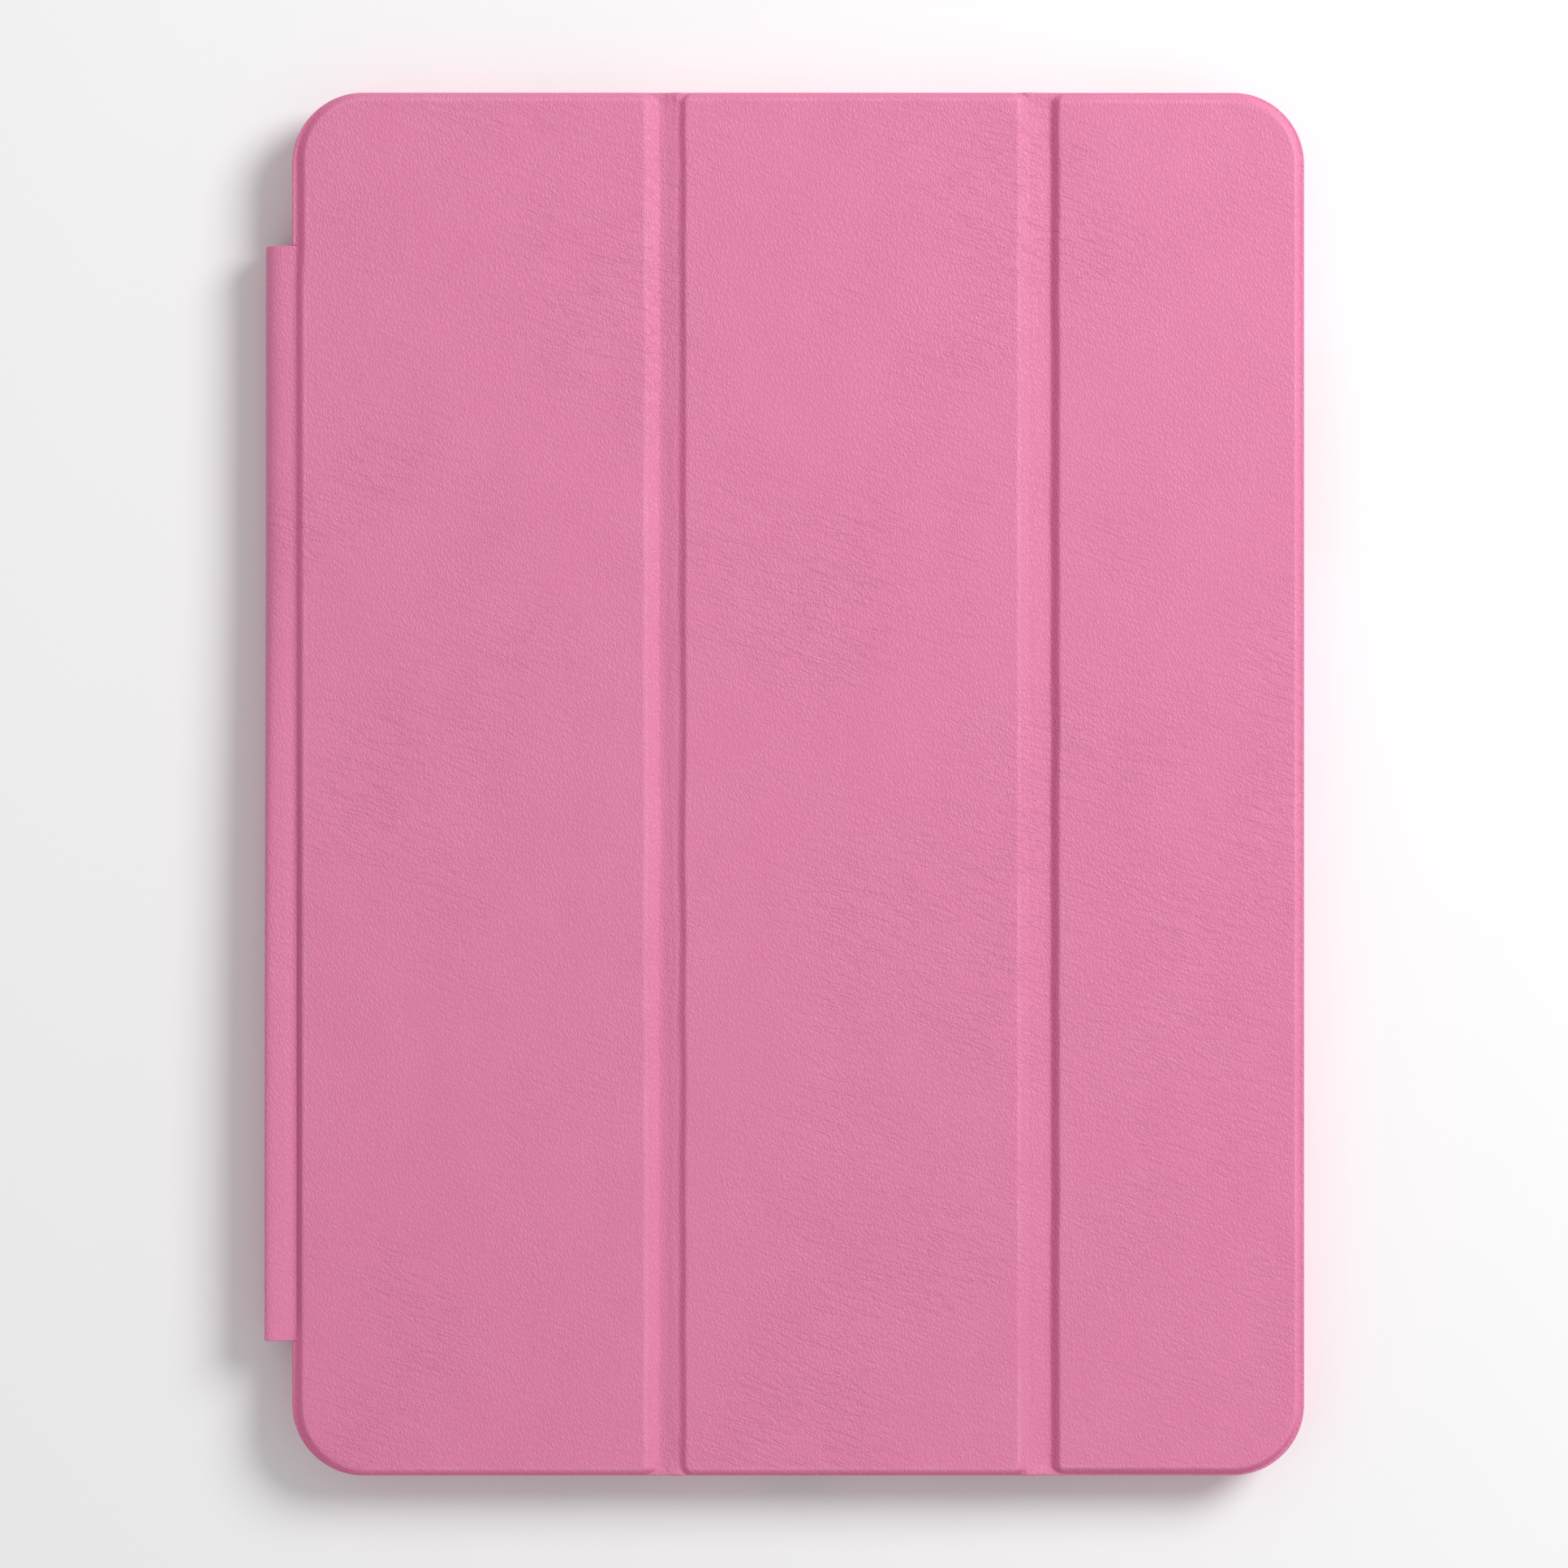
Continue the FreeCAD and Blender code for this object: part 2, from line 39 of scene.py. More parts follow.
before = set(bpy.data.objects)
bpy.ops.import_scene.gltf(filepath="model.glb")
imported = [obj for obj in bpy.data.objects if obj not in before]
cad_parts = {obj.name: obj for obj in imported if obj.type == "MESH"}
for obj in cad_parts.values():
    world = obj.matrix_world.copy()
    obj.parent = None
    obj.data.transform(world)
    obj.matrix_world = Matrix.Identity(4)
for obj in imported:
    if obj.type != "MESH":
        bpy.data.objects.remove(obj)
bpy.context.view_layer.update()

MM = 0.001

# ---- sizes shared with the frame ----

COVER_LEFT, COVER_RIGHT = -89.7, 94.9
COVER_END = 126.1
COVER_CORNER = 13.0
LINING_BOTTOM, LINING_TOP = 9.5, 9.9
LEATHER = 0.7
LINING = 0.4
EDGE_TOP = 10.6
PANEL_TOP = 11.6
# the panels' faces lie a little under the top, which leaves room for the leather's swell
PANEL_FACE = PANEL_TOP - 0.03
COVER_EDGE_RADIUS = 0.2
# where the cover's two pieces of leather, and of lining, meet, in the middle of panel 2
SEAM = 12.55
TRAY_LEFT, TRAY_RIGHT, TRAY_END = -89.7, 94.3, 125.8
TRAY_CORNER = 12.7
TRAY_LEATHER = 0.6
SPINE_FRONT, SPINE_BACK = -101.6, 98.2
SPINE_RADIUS = 5.2
SPINE_Z = 5.4

# the middle of each fold
FOLD_1, FOLD_2 = -21.2, 46.5
# panels: foot of the left slope, foot of the right slope, how wide each slope is, and the same for both ends
PANELS = (
    (-89.25, -22.75, 2.3, 3.0, 0.0, 1.6),
    (-19.45, 44.75, 1.9, 2.4, 0.0, 1.6),
    (48.4, 94.05, 2.2, 1.0, 0.28, 1.65),
)
# how far a panel's corners are rounded at the ends of a fold
PANEL_CORNER = 2.1
# where the spine's leather ends against panel 1, and the step up from the roll to the panel
SPINE_LEATHER_END = -88.9
STEP_START, STEP_STOP = -90.25, -86.65
# the strip of panel 1 that the step shapes, and how far the cover's leather is tucked in under the spine's
STEP_EASE, STEP_REACH = -87.0, -86.2
TUCK = 0.35
STEP_DIP, STEP_CREASE = 0.26, 0.13
# towards -Y the flat foot outside panel 1's left slope narrows by this share
FOOT_NARROWING = 0.85
# radius of a cut end of the spine's leather
CUT_RADIUS = 0.15
# angles round the roll, in degrees from +X: its three stretches meet at the two joins
ROLL_TOP, ROLL_LEATHER_TOP, UPPER_JOIN, LOWER_JOIN, ROLL_BOTTOM = 90, 92, 142, 217, 270

# ---- how finely and how smoothly the meshes are made ----

# steps of a sheet's columns and rows inward from its edge
COVER_EDGE_STEPS = (
    0.0, 0.02, 0.06, 0.12, 0.2, 0.3, 0.42, 0.55, 0.7, 0.85, 1.0, 1.15, 1.3, 1.5, 1.8, 2.3, 3.0,
)
LINING_EDGE_STEPS = (0.0, 0.05, 0.15, 0.5, 1.2, 1.9, 2.1, 2.4, 2.7, 2.9, 3.4)
SPINE_EDGE_STEPS = (0.0, 0.04, 0.12, 0.25, 0.6)
# edges sharper than these angles stay sharp
TRAY_SHARP, COVER_SHARP, SPINE_SHARP = 40.0, 50.0, 55.0


def smooth(t):
    t = min(1.0, max(0.0, t))
    return t * t * (3 - 2 * t)


def ramp(value, low, high):
    return smooth((value - low) / (high - low))


def wobble(y, seed, size):
    """A slow waver along the spine's direction, as a hand-pressed crease has."""
    slow = noise.noise(Vector((y / 21.0, seed, 0.0)))
    quick = noise.noise(Vector((y / 6.5, seed, 3.7)))
    return size * (slow + 0.6 * quick)


def spine_share(y):
    """1 beside the spine strip and 0 past its ends."""
    return ramp(y, SPINE_FRONT - 0.1, SPINE_FRONT + 0.1) * (1 - ramp(y, SPINE_BACK - 0.1, SPINE_BACK + 0.1))


def outline_depth(x, y, left, right, end, corner):
    """How far a point lies inside a rounded rectangle."""
    dx = min(x - left, right - x)
    dy = end - abs(y)
    if dx < corner and dy < corner:
        return corner - math.hypot(corner - dx, corner - dy)
    return min(dx, dy)


def rounded_drop(depth, radius):
    """How far a rounded edge lies under its face, this deep inside the outline."""
    if depth >= radius:
        return 0.0
    return radius - math.sqrt(max(0.0, radius ** 2 - (radius - depth) ** 2))


# ---- mesh helpers ----


def make_object(name, points, faces, material, sharp=TRAY_SHARP, marks=None):
    """A mesh object from points in millimetres. It keeps its rest points for the grain, and marks of worn
    edges, pressing, and painted light and shade.
    """
    mesh = bpy.data.meshes.new(name)
    mesh.from_pydata([(x * MM, y * MM, z * MM) for x, y, z in points], [], faces)
    mesh.validate()
    smooth_shading(mesh, sharp)
    store_rest(mesh)
    wear_and_painted_light = mesh.attributes.new("wear_and_painted_light", "FLOAT", "POINT")
    if marks is not None:
        wear_and_painted_light.data.foreach_set("value", np.array(marks, np.float32))
    mesh.materials.append(material)
    obj = bpy.data.objects.new(name, mesh)
    bpy.context.scene.collection.objects.link(obj)
    return obj


def smooth_shading(mesh, sharp):
    mesh.shade_smooth()
    mesh.set_sharp_from_angle(angle=math.radians(sharp))


def store_rest(mesh):
    rest = mesh.attributes.get("rest") or mesh.attributes.new("rest", "FLOAT_VECTOR", "POINT")
    coordinates = np.empty(len(mesh.vertices) * 3, np.float32)
    mesh.vertices.foreach_get("co", coordinates)
    rest.data.foreach_set("vector", coordinates)


def grid_solid(columns, rows, top, bottom):
    """Points and faces of a closed sheet. top and bottom give the point at a column and a row."""
    across, along = len(columns), len(rows)
    points = [top(c, r) for r in rows for c in columns]
    points += [bottom(c, r) for r in rows for c in columns]
    under = across * along
    faces = []
    for j in range(along - 1):
        for i in range(across - 1):
            a = j * across + i
            faces.append((a, a + 1, a + across + 1, a + across))
            faces.append((under + a, under + a + across, under + a + across + 1, under + a + 1))
    for i in range(across - 1):
        a, b = i, (along - 1) * across + i
        faces.append((a, under + a, under + a + 1, a + 1))
        faces.append((b, b + 1, under + b + 1, under + b))
    for j in range(along - 1):
        a, b = j * across, j * across + across - 1
        faces.append((a, a + across, under + a + across, under + a))
        faces.append((b, under + b, under + b + across, b + across))
    return points, faces


def spread(stops):
    """A list of values from stops (value, step up to the next stop)."""
    values = []
    for (low, step), (high, _) in zip(stops, stops[1:]):
        count = max(1, round((high - low) / step))
        values += [low + (high - low) * k / count for k in range(count)]
    return values + [stops[-1][0]]


def cover_rows():
    """Rows of the cover's leather, close together at its ends and beside the ends of the spine strip."""
    middle_step = 1.7
    stops = ((-COVER_END + 4.0, 0.9), (-COVER_END + 13.0, 1.5), (-COVER_END + 20.0, middle_step), (0.0, 1))
    half = [-COVER_END + step for step in COVER_EDGE_STEPS] + spread(stops)
    rows = half[:-1] + [0.0] + [-y for y in reversed(half[:-1])]
    for place in (SPINE_FRONT, SPINE_BACK):
        rows += [place - 0.5, place - 0.12, place, place + 0.12, place + 0.5]
    rows = sorted(rows)
    closest = 0.015
    kept = [rows[0]]
    for row in rows[1:]:
        if row - kept[-1] > closest:
            kept.append(row)
    return kept


def fit_cover(x, y):
    """Move a column's x at one row so that the rectangular grid fits the cover's rounded outline."""
    reach = 26.0
    depth = min(COVER_END - abs(y), COVER_CORNER)
    shrink = COVER_CORNER - math.sqrt(max(0.0, COVER_CORNER ** 2 - (COVER_CORNER - depth) ** 2))
    x += shrink * max(0.0, 1 - (x - COVER_LEFT) / reach)
    x -= shrink * max(0.0, 1 - (COVER_RIGHT - x) / reach)
    return x


def cover_depth(x, y):
    return outline_depth(x, y, COVER_LEFT, COVER_RIGHT, COVER_END, COVER_CORNER)


# ---- leather of the cover ----


def fold_floor(x, y):
    """Height of the leather between the panels and round them. The first fold is deepest on its left, and the
    second on its right. At the folds' ends the leather lifts a little and puckers."""
    inside = COVER_END - abs(y)
    pleat = 0.045 * noise.noise(Vector((x * 1.5, y / 9.0, 4.4))) * (1 - ramp(inside, 1.0, 4.5))
    crinkle = 0.03 * noise.noise(Vector((x * 1.3, y / 7.0, 2.2))) + pleat * ramp(inside, 0.1, 0.8)
    lift = 0.22 * (1 - ramp(inside, 0.2, 2.4))
    if x < 0:
        low, rise = 10.44, 0.4
        floor = low + rise * ramp(x, -22.4, -19.0) + wobble(y, 5.1, 0.03)
        share = ramp(x, -26.0, -23.0) * (1 - ramp(x, -19.4, -17.0))
    else:
        high, drop = 10.94, 0.52
        floor = high - drop * ramp(x, 43.9, 48.6) + wobble(y, 8.3, 0.03)
        share = ramp(x, 42.0, 44.8) * (1 - ramp(x, 48.4, 51.0))
    return EDGE_TOP + (floor + crinkle + lift - EDGE_TOP) * share


def end_share(x, y):
    """0 beside the case's long sides, 1 beside its ends, and in between round its corners."""
    dx = min(x - COVER_LEFT, COVER_RIGHT - x)
    dy = COVER_END - abs(y)
    if dx < COVER_CORNER and dy < COVER_CORNER:
        return math.atan2(COVER_CORNER - dy, COVER_CORNER - dx) / (math.pi / 2)
    return 1.0 if dy < dx else 0.0


def slope_up(raised, rightward):
    """Shape of a panel's side: an even curve on its left, a fuller one on its right."""
    even = smooth(raised)
    return 0.55 * even + 0.45 * (1 - (1 - raised) ** 2.2) if rightward else even


def rise_from_edge(x, y, index, round_end):
    """How far up a panel's outer slope a spot is, 0 to 1."""
    start, stop, left_slope, right_slope, end_foot, end_slope = PANELS[index]
    side_foot, side_slope = end_foot, end_slope
    if index == 0:
        side_foot = (start - COVER_LEFT) * (1 - FOOT_NARROWING * ramp(-y, 60.0, 108.0))
        side_slope = left_slope
    if index == 2:
        side_foot, side_slope = COVER_RIGHT - stop, right_slope
    foot = side_foot + (end_foot - side_foot) * round_end
    slope = side_slope + (end_slope - side_slope) * round_end
    return min(1.0, max(0.0, cover_depth(x, y) - foot) / slope)


def rise_from_fold(x, y, index):
    """How far up from the nearer fold a spot of a panel is, at most 1, and whether that is its right fold."""
    start, stop, left_slope, right_slope = PANELS[index][:4]
    room = max(0.0, min(PANEL_CORNER, COVER_END - abs(y)))
    rounding = PANEL_CORNER - math.sqrt(PANEL_CORNER ** 2 - (PANEL_CORNER - room) ** 2)
    near, rightward = 1.0, False
    if index > 0:
        near = (x - start - wobble(y, 11.0 + index, 0.16) - rounding) / left_slope
    if index < 2:
        right = (stop + wobble(y, 23.0 + index, 0.16) - rounding - x) / right_slope
        near, rightward = (right, True) if right < near else (near, False)
    return min(1.0, near), rightward


def panel_share(x, y, index):
    """How high a spot of one panel is, 0 at the feet and 1 on its top, and how far up its slopes it is."""
    round_end = 1.0 if index == 1 else end_share(x, y)
    edge = rise_from_edge(x, y, index, round_end)
    near, rightward = rise_from_fold(x, y, index)
    if near <= 0:
        return 0.0, 0.0
    a, b = 1 - near, 1 - edge
    raised = 1 - min(1.0, math.hypot(a, b))
    toward_edge = b * b / (a * a + b * b) if raised < 1 else 0.0
    side = slope_up(raised, index == 2)
    rim = 0.26 * (1 - a * a) if index < 2 else 0.0
    rounded = 1 - (1 - rim) * (1 - raised) ** 2.1
    over_edge = side + (rounded - side) * round_end
    return slope_up(raised, rightward) * (1 - toward_edge) + over_edge * toward_edge, raised


def spine_step(x, y):
    """The smooth step up from the roll to panel 1. Towards -Y it gets a dip, and then a sharp crease too."""
    share = smooth(smooth((x - STEP_START) / (STEP_STOP - STEP_START)))
    away = x - SPINE_LEATHER_END
    soft = smooth(1 - (away / 1.1 if away > 0 else -away / 2.4)) * (1 - ramp(y, -45.0, 62.0))
    sharp = max(0.0, 1 - (away / 0.3 if away > 0 else -away / 0.45)) ** 1.4 * (1 - ramp(y, -42.0, -8.0))
    return EDGE_TOP + (PANEL_FACE - EDGE_TOP) * share - STEP_DIP * soft - STEP_CREASE * sharp


def beside_spine(x, y, plain):
    """Height of the leather beside the spine; near the strip's ends it eases into the plain height."""
    ease = 7.0
    share = ramp(y, SPINE_FRONT, SPINE_FRONT + ease) * (1 - ramp(y, SPINE_BACK - ease, SPINE_BACK))
    return plain + (spine_step(x, y) - plain) * share * (1 - ramp(x, STEP_EASE, STEP_REACH))


def panel_1_height(x, y):
    return EDGE_TOP + (PANEL_FACE - EDGE_TOP) * panel_share(x, y, 0)[0]


def cover_height(x, y):
    """Top of the cover's leather, and how raised the spot is, from 0 to 1."""
    depth = cover_depth(x, y)
    index = 0 if x < FOLD_1 else 1 if x < FOLD_2 else 2
    share, raised = panel_share(x, y, index)
    height = fold_floor(x, y)
    swell = 0.018 * noise.noise(Vector((x / 17.0, y / 23.0, 1.3)))
    swell += 0.01 * noise.noise(Vector((x / 6.0, y / 9.0, 7.9)))
    height += (PANEL_FACE + swell - height) * share
    beside = spine_share(y)
    if beside > 0 and x < STEP_REACH:
        height = beside_spine(x, y, height)
        if x < SPINE_LEATHER_END:
            height -= TUCK * beside
    return min(PANEL_TOP, height - rounded_drop(depth, COVER_EDGE_RADIUS)), raised


def cover_under(x, y, height):
    """Underside of the cover's leather: on the lining round the edge, and over the boards inside."""
    board_thickness, flange, wall = 1.0, 0.9, 0.3
    room = smooth((height - EDGE_TOP + 0.1) / (PANEL_TOP - EDGE_TOP) * 1.5)
    clear = min(1.0, max(0.0, cover_depth(x, y) - flange) / wall)
    return LINING_TOP + board_thickness * room * clear


# columns of the leather's two pieces: close together at the edges, at the spine's step and at the folds
HINGE_EDGE_STEPS = (0.0, 0.02, 0.06, 0.12, 0.2, 0.35, 0.5, 0.65, 0.78, 0.7999, 0.8, 0.84, 0.9)
FREE_EDGE_STEPS = (1.45, 1.3, 1.15, 1.0, 0.85, 0.7, 0.55, 0.4, 0.28, 0.2, 0.12, 0.06, 0.02, 0.0)
HINGE_SIDE_STOPS = (
    (-88.72, 0.14), (STEP_REACH, 0.5), (-84.2, 2.4), (-28.4, 0.5), (-26.4, 0.2), (-16.4, 0.5), (-14.4, 2.4),
    (SEAM, 1),
)
FREE_SIDE_STOPS = (
    (SEAM, 2.4), (39.6, 0.5), (41.6, 0.2), (51.8, 0.5), (53.8, 2.4), (89.8, 0.6), (91.6, 0.2), (93.3, 1),
)
COVER_COLUMNS_A = [COVER_LEFT + step for step in HINGE_EDGE_STEPS] + spread(HINGE_SIDE_STOPS)
COVER_COLUMNS_B = spread(FREE_SIDE_STOPS) + [COVER_RIGHT - step for step in FREE_EDGE_STEPS]
COVER_ROWS = cover_rows()


def height_slope(x, y):
    """How steeply the leather climbs towards +X and +Y."""
    step = 0.12
    across = (cover_height(x + step, y)[0] - cover_height(x - step, y)[0]) / (2 * step)
    along = (cover_height(x, y + step)[0] - cover_height(x, y - step)[0]) / (2 * step)
    return max(0.0, across) + 0.8 * max(0.0, along)


def cover_leather(name, columns, material):
    """One piece of the cover's leather. Marks above 0 are worn edges. They are left out on the slopes that
    face away from the light, so they are partly a painted highlight. Below 0 are the slopes that climb
    towards +X and +Y, away from the light, which get painted shade: a deeper colour."""
    marks = []

    def top(c, r):
        x = fit_cover(c, r)
        height, raised = cover_height(x, r)
        # marks: above 0, worn edges that are paler only where they face the light (partly a painted
        # highlight); below 0, painted shade on the slopes that face away from the light
        high = ramp(raised, 0.55, 0.8) * (1 - ramp(raised, 0.93, 1.0))
        leftward = ramp(height_slope(x, r), 0.1, 0.6)
        marks.append(0.9 * high * (1 - leftward) - leftward)
        return x, r, height

    def bottom(c, r):
        x = fit_cover(c, r)
        marks.append(0.0)
        return x, r, cover_under(x, r, cover_height(x, r)[0])

    points, faces = grid_solid(columns, COVER_ROWS, top, bottom)
    return make_object(name, points, faces, material, COVER_SHARP, marks)


# ---- lining of the cover ----


def lining_press(x, y):
    """How deep the cover's lining is pressed in: along a line round its edge, and at the folds, where the
    thinned lining also keeps clear of the tray while it bends."""
    line_inset, line_depth, fold_depth = 2.4, 0.12, 0.3
    depth = cover_depth(x, y)
    press = line_depth * (1 - ramp(abs(depth - line_inset), 0.12, 0.45))
    inside = ramp(depth, 0.1, 0.7)
    for middle, half in ((FOLD_1, 1.5), (FOLD_2, 1.7)):
        side = abs(x - middle - wobble(y, 40.0 + middle, 0.08))
        press = max(press, fold_depth * inside * (1 - ramp(side, half - 0.9, half + 0.4)))
    return press


def lining_face(x, y):
    """The visible underside of the cover's lining."""
    edge_radius = 0.15
    return LINING_BOTTOM + max(lining_press(x, y), rounded_drop(cover_depth(x, y), edge_radius))


LINING_COLUMNS_A = [COVER_LEFT + step for step in LINING_EDGE_STEPS]
LINING_COLUMNS_A += spread(((-85.2, 3.0), (-24.2, 0.3), (-18.2, 3.0), (SEAM, 1)))
LINING_COLUMNS_B = spread(((SEAM, 3.0), (43.5, 0.3), (49.5, 3.0), (90.6, 1)))
LINING_COLUMNS_B += [COVER_RIGHT - step for step in reversed(LINING_EDGE_STEPS)]


def lining_rows():
    half = [-COVER_END + step for step in LINING_EDGE_STEPS]
    half += spread(((-COVER_END + 4.2, 1.0), (-COVER_END + 14.0, 3.0), (0.0, 1)))
    return half + [-y for y in reversed(half[:-1])]


def cover_lining(name, columns, material):
    """One piece of the cover's lining. Marks below 0 are where it is pressed."""
    rows = lining_rows()
    marks = []

    def top(c, r):
        marks.append(0.0)
        return fit_cover(c, r), r, LINING_TOP

    def bottom(c, r):
        x = fit_cover(c, r)
        marks.append(-min(1.0, lining_press(x, r) / 0.2))
        return x, r, lining_face(x, r)

    points, faces = grid_solid(columns, rows, top, bottom)
    return make_object(name, points, faces, material, marks=marks)


# ---- spine ----


def spine_point(angle, y, radius):
    """A point of the rolled strip, whose section is a rounded box. Towards -Y the roll is pressed flatter."""
    flat = 1 - ramp(y, -80.0, 50.0)
    a = math.radians(angle)
    power = 2.6 + (0.9 + 8.0 * flat) * smooth(0.5 + math.sin(a))
    c, s = abs(math.cos(a)), abs(math.sin(a))
    reach = radius * (c ** power + s ** power) ** (-1 / power)
    dent = min(1.0, 1.0 + wobble(y, 31.0, 0.004))
    return COVER_LEFT + reach * math.cos(a) * dent, SPINE_Z + reach * math.sin(a)


SPINE_ROWS = sorted(
    [SPINE_FRONT + step for step in SPINE_EDGE_STEPS]
    + spread(((SPINE_FRONT + 1.5, 2.0), (SPINE_BACK - 1.5, 1)))
    + [SPINE_BACK - step for step in SPINE_EDGE_STEPS]
)


def cut_end_drop(y):
    """How far the strip's cut ends are rounded off at this row."""
    return rounded_drop(min(y - SPINE_FRONT, SPINE_BACK - y), CUT_RADIUS)


def spine_outside(angle, y):
    return spine_point(angle, y, SPINE_RADIUS - cut_end_drop(y))


def spine_inside(angle, y):
    """The leather's inside, which is also the lining's outside."""
    return spine_point(angle, y, SPINE_RADIUS - LEATHER)


def lining_inside(angle, y):
    return spine_point(angle, y, SPINE_RADIUS - LEATHER - LINING)


def spine_swell(x, y, z):
    """Towards -Y the strip bulges up beside the crease."""
    swell = 0.42
    flat = 1 - ramp(y, -70.0, 50.0)
    return swell * flat * ramp(z, 9.4, 10.3) * (1 - ramp(x, -94.0, -89.2))


def spine_cover_profile(y):
    """The roll's last stretch, outside and inside: over the cover's edge and up against panel 1."""
    around, across, flap_bottom = 34, 14, 10.15
    outside, inside = [], []
    for angle in np.linspace(UPPER_JOIN, ROLL_LEATHER_TOP, around):
        x, z = spine_outside(angle, y)
        outside.append((x, z + beside_spine(x, y, panel_1_height(x, y)) - EDGE_TOP + spine_swell(x, y, z)))
        inside.append(spine_inside(angle, y))
    last = outside[-1][0]
    for k in range(1, across + 1):
        x = last + (SPINE_LEATHER_END - last) * k / across
        height = beside_spine(x, y, panel_1_height(x, y))
        outside.append((x, height - cut_end_drop(y) + spine_swell(x, y, EDGE_TOP)))
        inside.append((x, flap_bottom))
    return outside, inside


def strip(name, profile, material):
    """A closed sheet along the spine, from a profile (outside points, inside points) for each row."""
    profiles = [profile(y) for y in SPINE_ROWS]
    columns = range(len(profiles[0][0]))
    rows = range(len(SPINE_ROWS))

    def top(c, r):
        x, z = profiles[r][0][c]
        return x, SPINE_ROWS[r], z

    def bottom(c, r):
        x, z = profiles[r][1][c]
        return x, SPINE_ROWS[r], z

    points, faces = grid_solid(columns, rows, top, bottom)
    return make_object(name, points, faces, material, SPINE_SHARP)


def arc_profile(first, last, count, outer, inner):
    """Profile of a plain stretch of the roll between two angles."""
    def profile(y):
        angles = np.linspace(first, last, count)
        outside = [outer(angle, y) for angle in angles]
        inside = [inner(angle, y) for angle in angles]
        return outside, inside
    return profile


# ---- tray ----


# heights in the tray, from its back up
BACK_TOP = 0.6
FLOOR_TOP = 1.8
SEAT = 2.2
WALL_TOP = 9.1
RIM_TOP = 9.4
LIP_UNDERSIDE = 8.4
# the bay that holds the tablet: left, right and how far each end is from the middle
BAY = (-87.2, 91.8, 124.05)
LIP_LENGTH = 34.0
# the camera window: left, right, low and high sides
WINDOW = (54.8, 88.8, 86.3, 120.3)
WINDOW_CORNER = 9.0
# openings in the walls along X, and their heights
PORT, PORT_HEIGHTS = (-4.7, 9.3), (2.8, 7.8)
SPEAKERS = ((-48.7, -22.7), (27.3, 53.3))
MICROPHONE = (1.3, 3.3)
SLOT_HEIGHTS = (4.3, 6.3)
POWER_NOTCH = (57.3, 79.3)
# along Y
VOLUME_NOTCH = (43, 81)
NOTCH_HEIGHTS = (3.4, 14)
# how far the cutters reach in Y through the wall at +Y
THROUGH, THROUGH_NOTCH = (121, 130), (119, 130)


def rounded_path(left, right, end, corner, step):
    """Points round a rounded rectangle, anticlockwise from the middle of its right side, each with the
    direction outward."""
    path = []
    corners = (
        (right - corner, end - corner, 0),
        (left + corner, end - corner, 90),
        (left + corner, -end + corner, 180),
        (right - corner, -end + corner, 270),
    )
    sides = (
        ((right, 0.0), (right, end - corner), (1, 0)),
        ((right - corner, end), (left + corner, end), (0, 1)),
        ((left, end - corner), (left, -end + corner), (-1, 0)),
        ((left + corner, -end), (right - corner, -end), (0, -1)),
    )
    for (start, stop, out), (cx, cy, first) in zip(sides, corners):
        length = math.hypot(stop[0] - start[0], stop[1] - start[1])
        count = max(1, round(length / step))
        for k in range(count):
            t = k / count
            path.append((start[0] + (stop[0] - start[0]) * t, start[1] + (stop[1] - start[1]) * t, *out))
        turns = 18
        for k in range(turns):
            a = math.radians(first + 90 * k / turns)
            path.append((cx + corner * math.cos(a), cy + corner * math.sin(a), math.cos(a), math.sin(a)))
    count = round((end - corner) / step)
    for k in range(count):
        path.append((right, -end + corner + (end - corner) * k / count, 1, 0))
    return path


def ring(path, profile):
    """Points and faces of a band swept along a path, and how many loops it has. profile(x, y, out) gives
    (inset, z) for each step."""
    points, faces = [], []
    for x, y, ox, oy in path:
        points += [(x - ox * inset, y - oy * inset, z) for inset, z in profile(x, y, (ox, oy))]
    stations = len(path)
    loops = len(points) // stations
    for i in range(stations):
        a, b = i * loops, (i + 1) % stations * loops
        for j in range(loops - 1):
            faces.append((a + j, b + j, b + j + 1, a + j + 1))
    return points, faces, loops


def fill_between(points, outer, inner, up):
    """Flat faces between an outer loop of point numbers and the loops inside it, all at one height."""
    edges = []
    numbers = list(outer) + [n for loop in inner for n in loop]
    place = {n: k for k, n in enumerate(numbers)}
    flat = [Vector(points[n][:2]) for n in numbers]
    outline = [Vector(points[n][:2]) for n in outer]
    holes = [[Vector(points[n][:2]) for n in loop] for loop in inner]
    for loop in (outer, *inner):
        edges += [(place[a], place[b]) for a, b in zip(loop, loop[1:] + loop[:1])]
    result = delaunay_2d_cdt(flat, edges, [], 0, 1e-7)
    verts, triangles = result[0], result[2]
    assert len(verts) == len(numbers)
    faces = []
    for triangle in triangles:
        middle = sum((verts[k] for k in triangle), Vector((0.0, 0.0))) / 3
        if any(inside_loop(middle, hole) for hole in holes) or not inside_loop(middle, outline):
            continue
        a, b, c = (verts[k] for k in triangle)
        turn = (b - a).cross(c - a)
        corners = [numbers[k] for k in triangle]
        faces.append(tuple(corners if (turn > 0) == up else reversed(corners)))
    return faces


def inside_loop(point, loop):
    """Whether a point lies inside a loop, by counting the sides that a line towards +X crosses."""
    inside = False
    for a, b in zip(loop, loop[1:] + loop[:1]):
        if (a.y > point.y) != (b.y > point.y):
            if point.x < (b.x - a.x) * (point.y - a.y) / (b.y - a.y) + a.x:
                inside = not inside
    return inside


def window_path(grow):
    left, right, low, high = WINDOW
    width, height = (right - left) / 2 + grow, (high - low) / 2 + grow
    cx, cy = (left + right) / 2, (low + high) / 2
    path = rounded_path(-width, width, height, WINDOW_CORNER + grow, 3.0)
    return [(x + cx, y + cy) for x, y, _, _ in path]


def add_loop(points, path, z):
    start = len(points)
    points += [(x, y, z) for x, y in path]
    return list(range(start, start + len(path)))


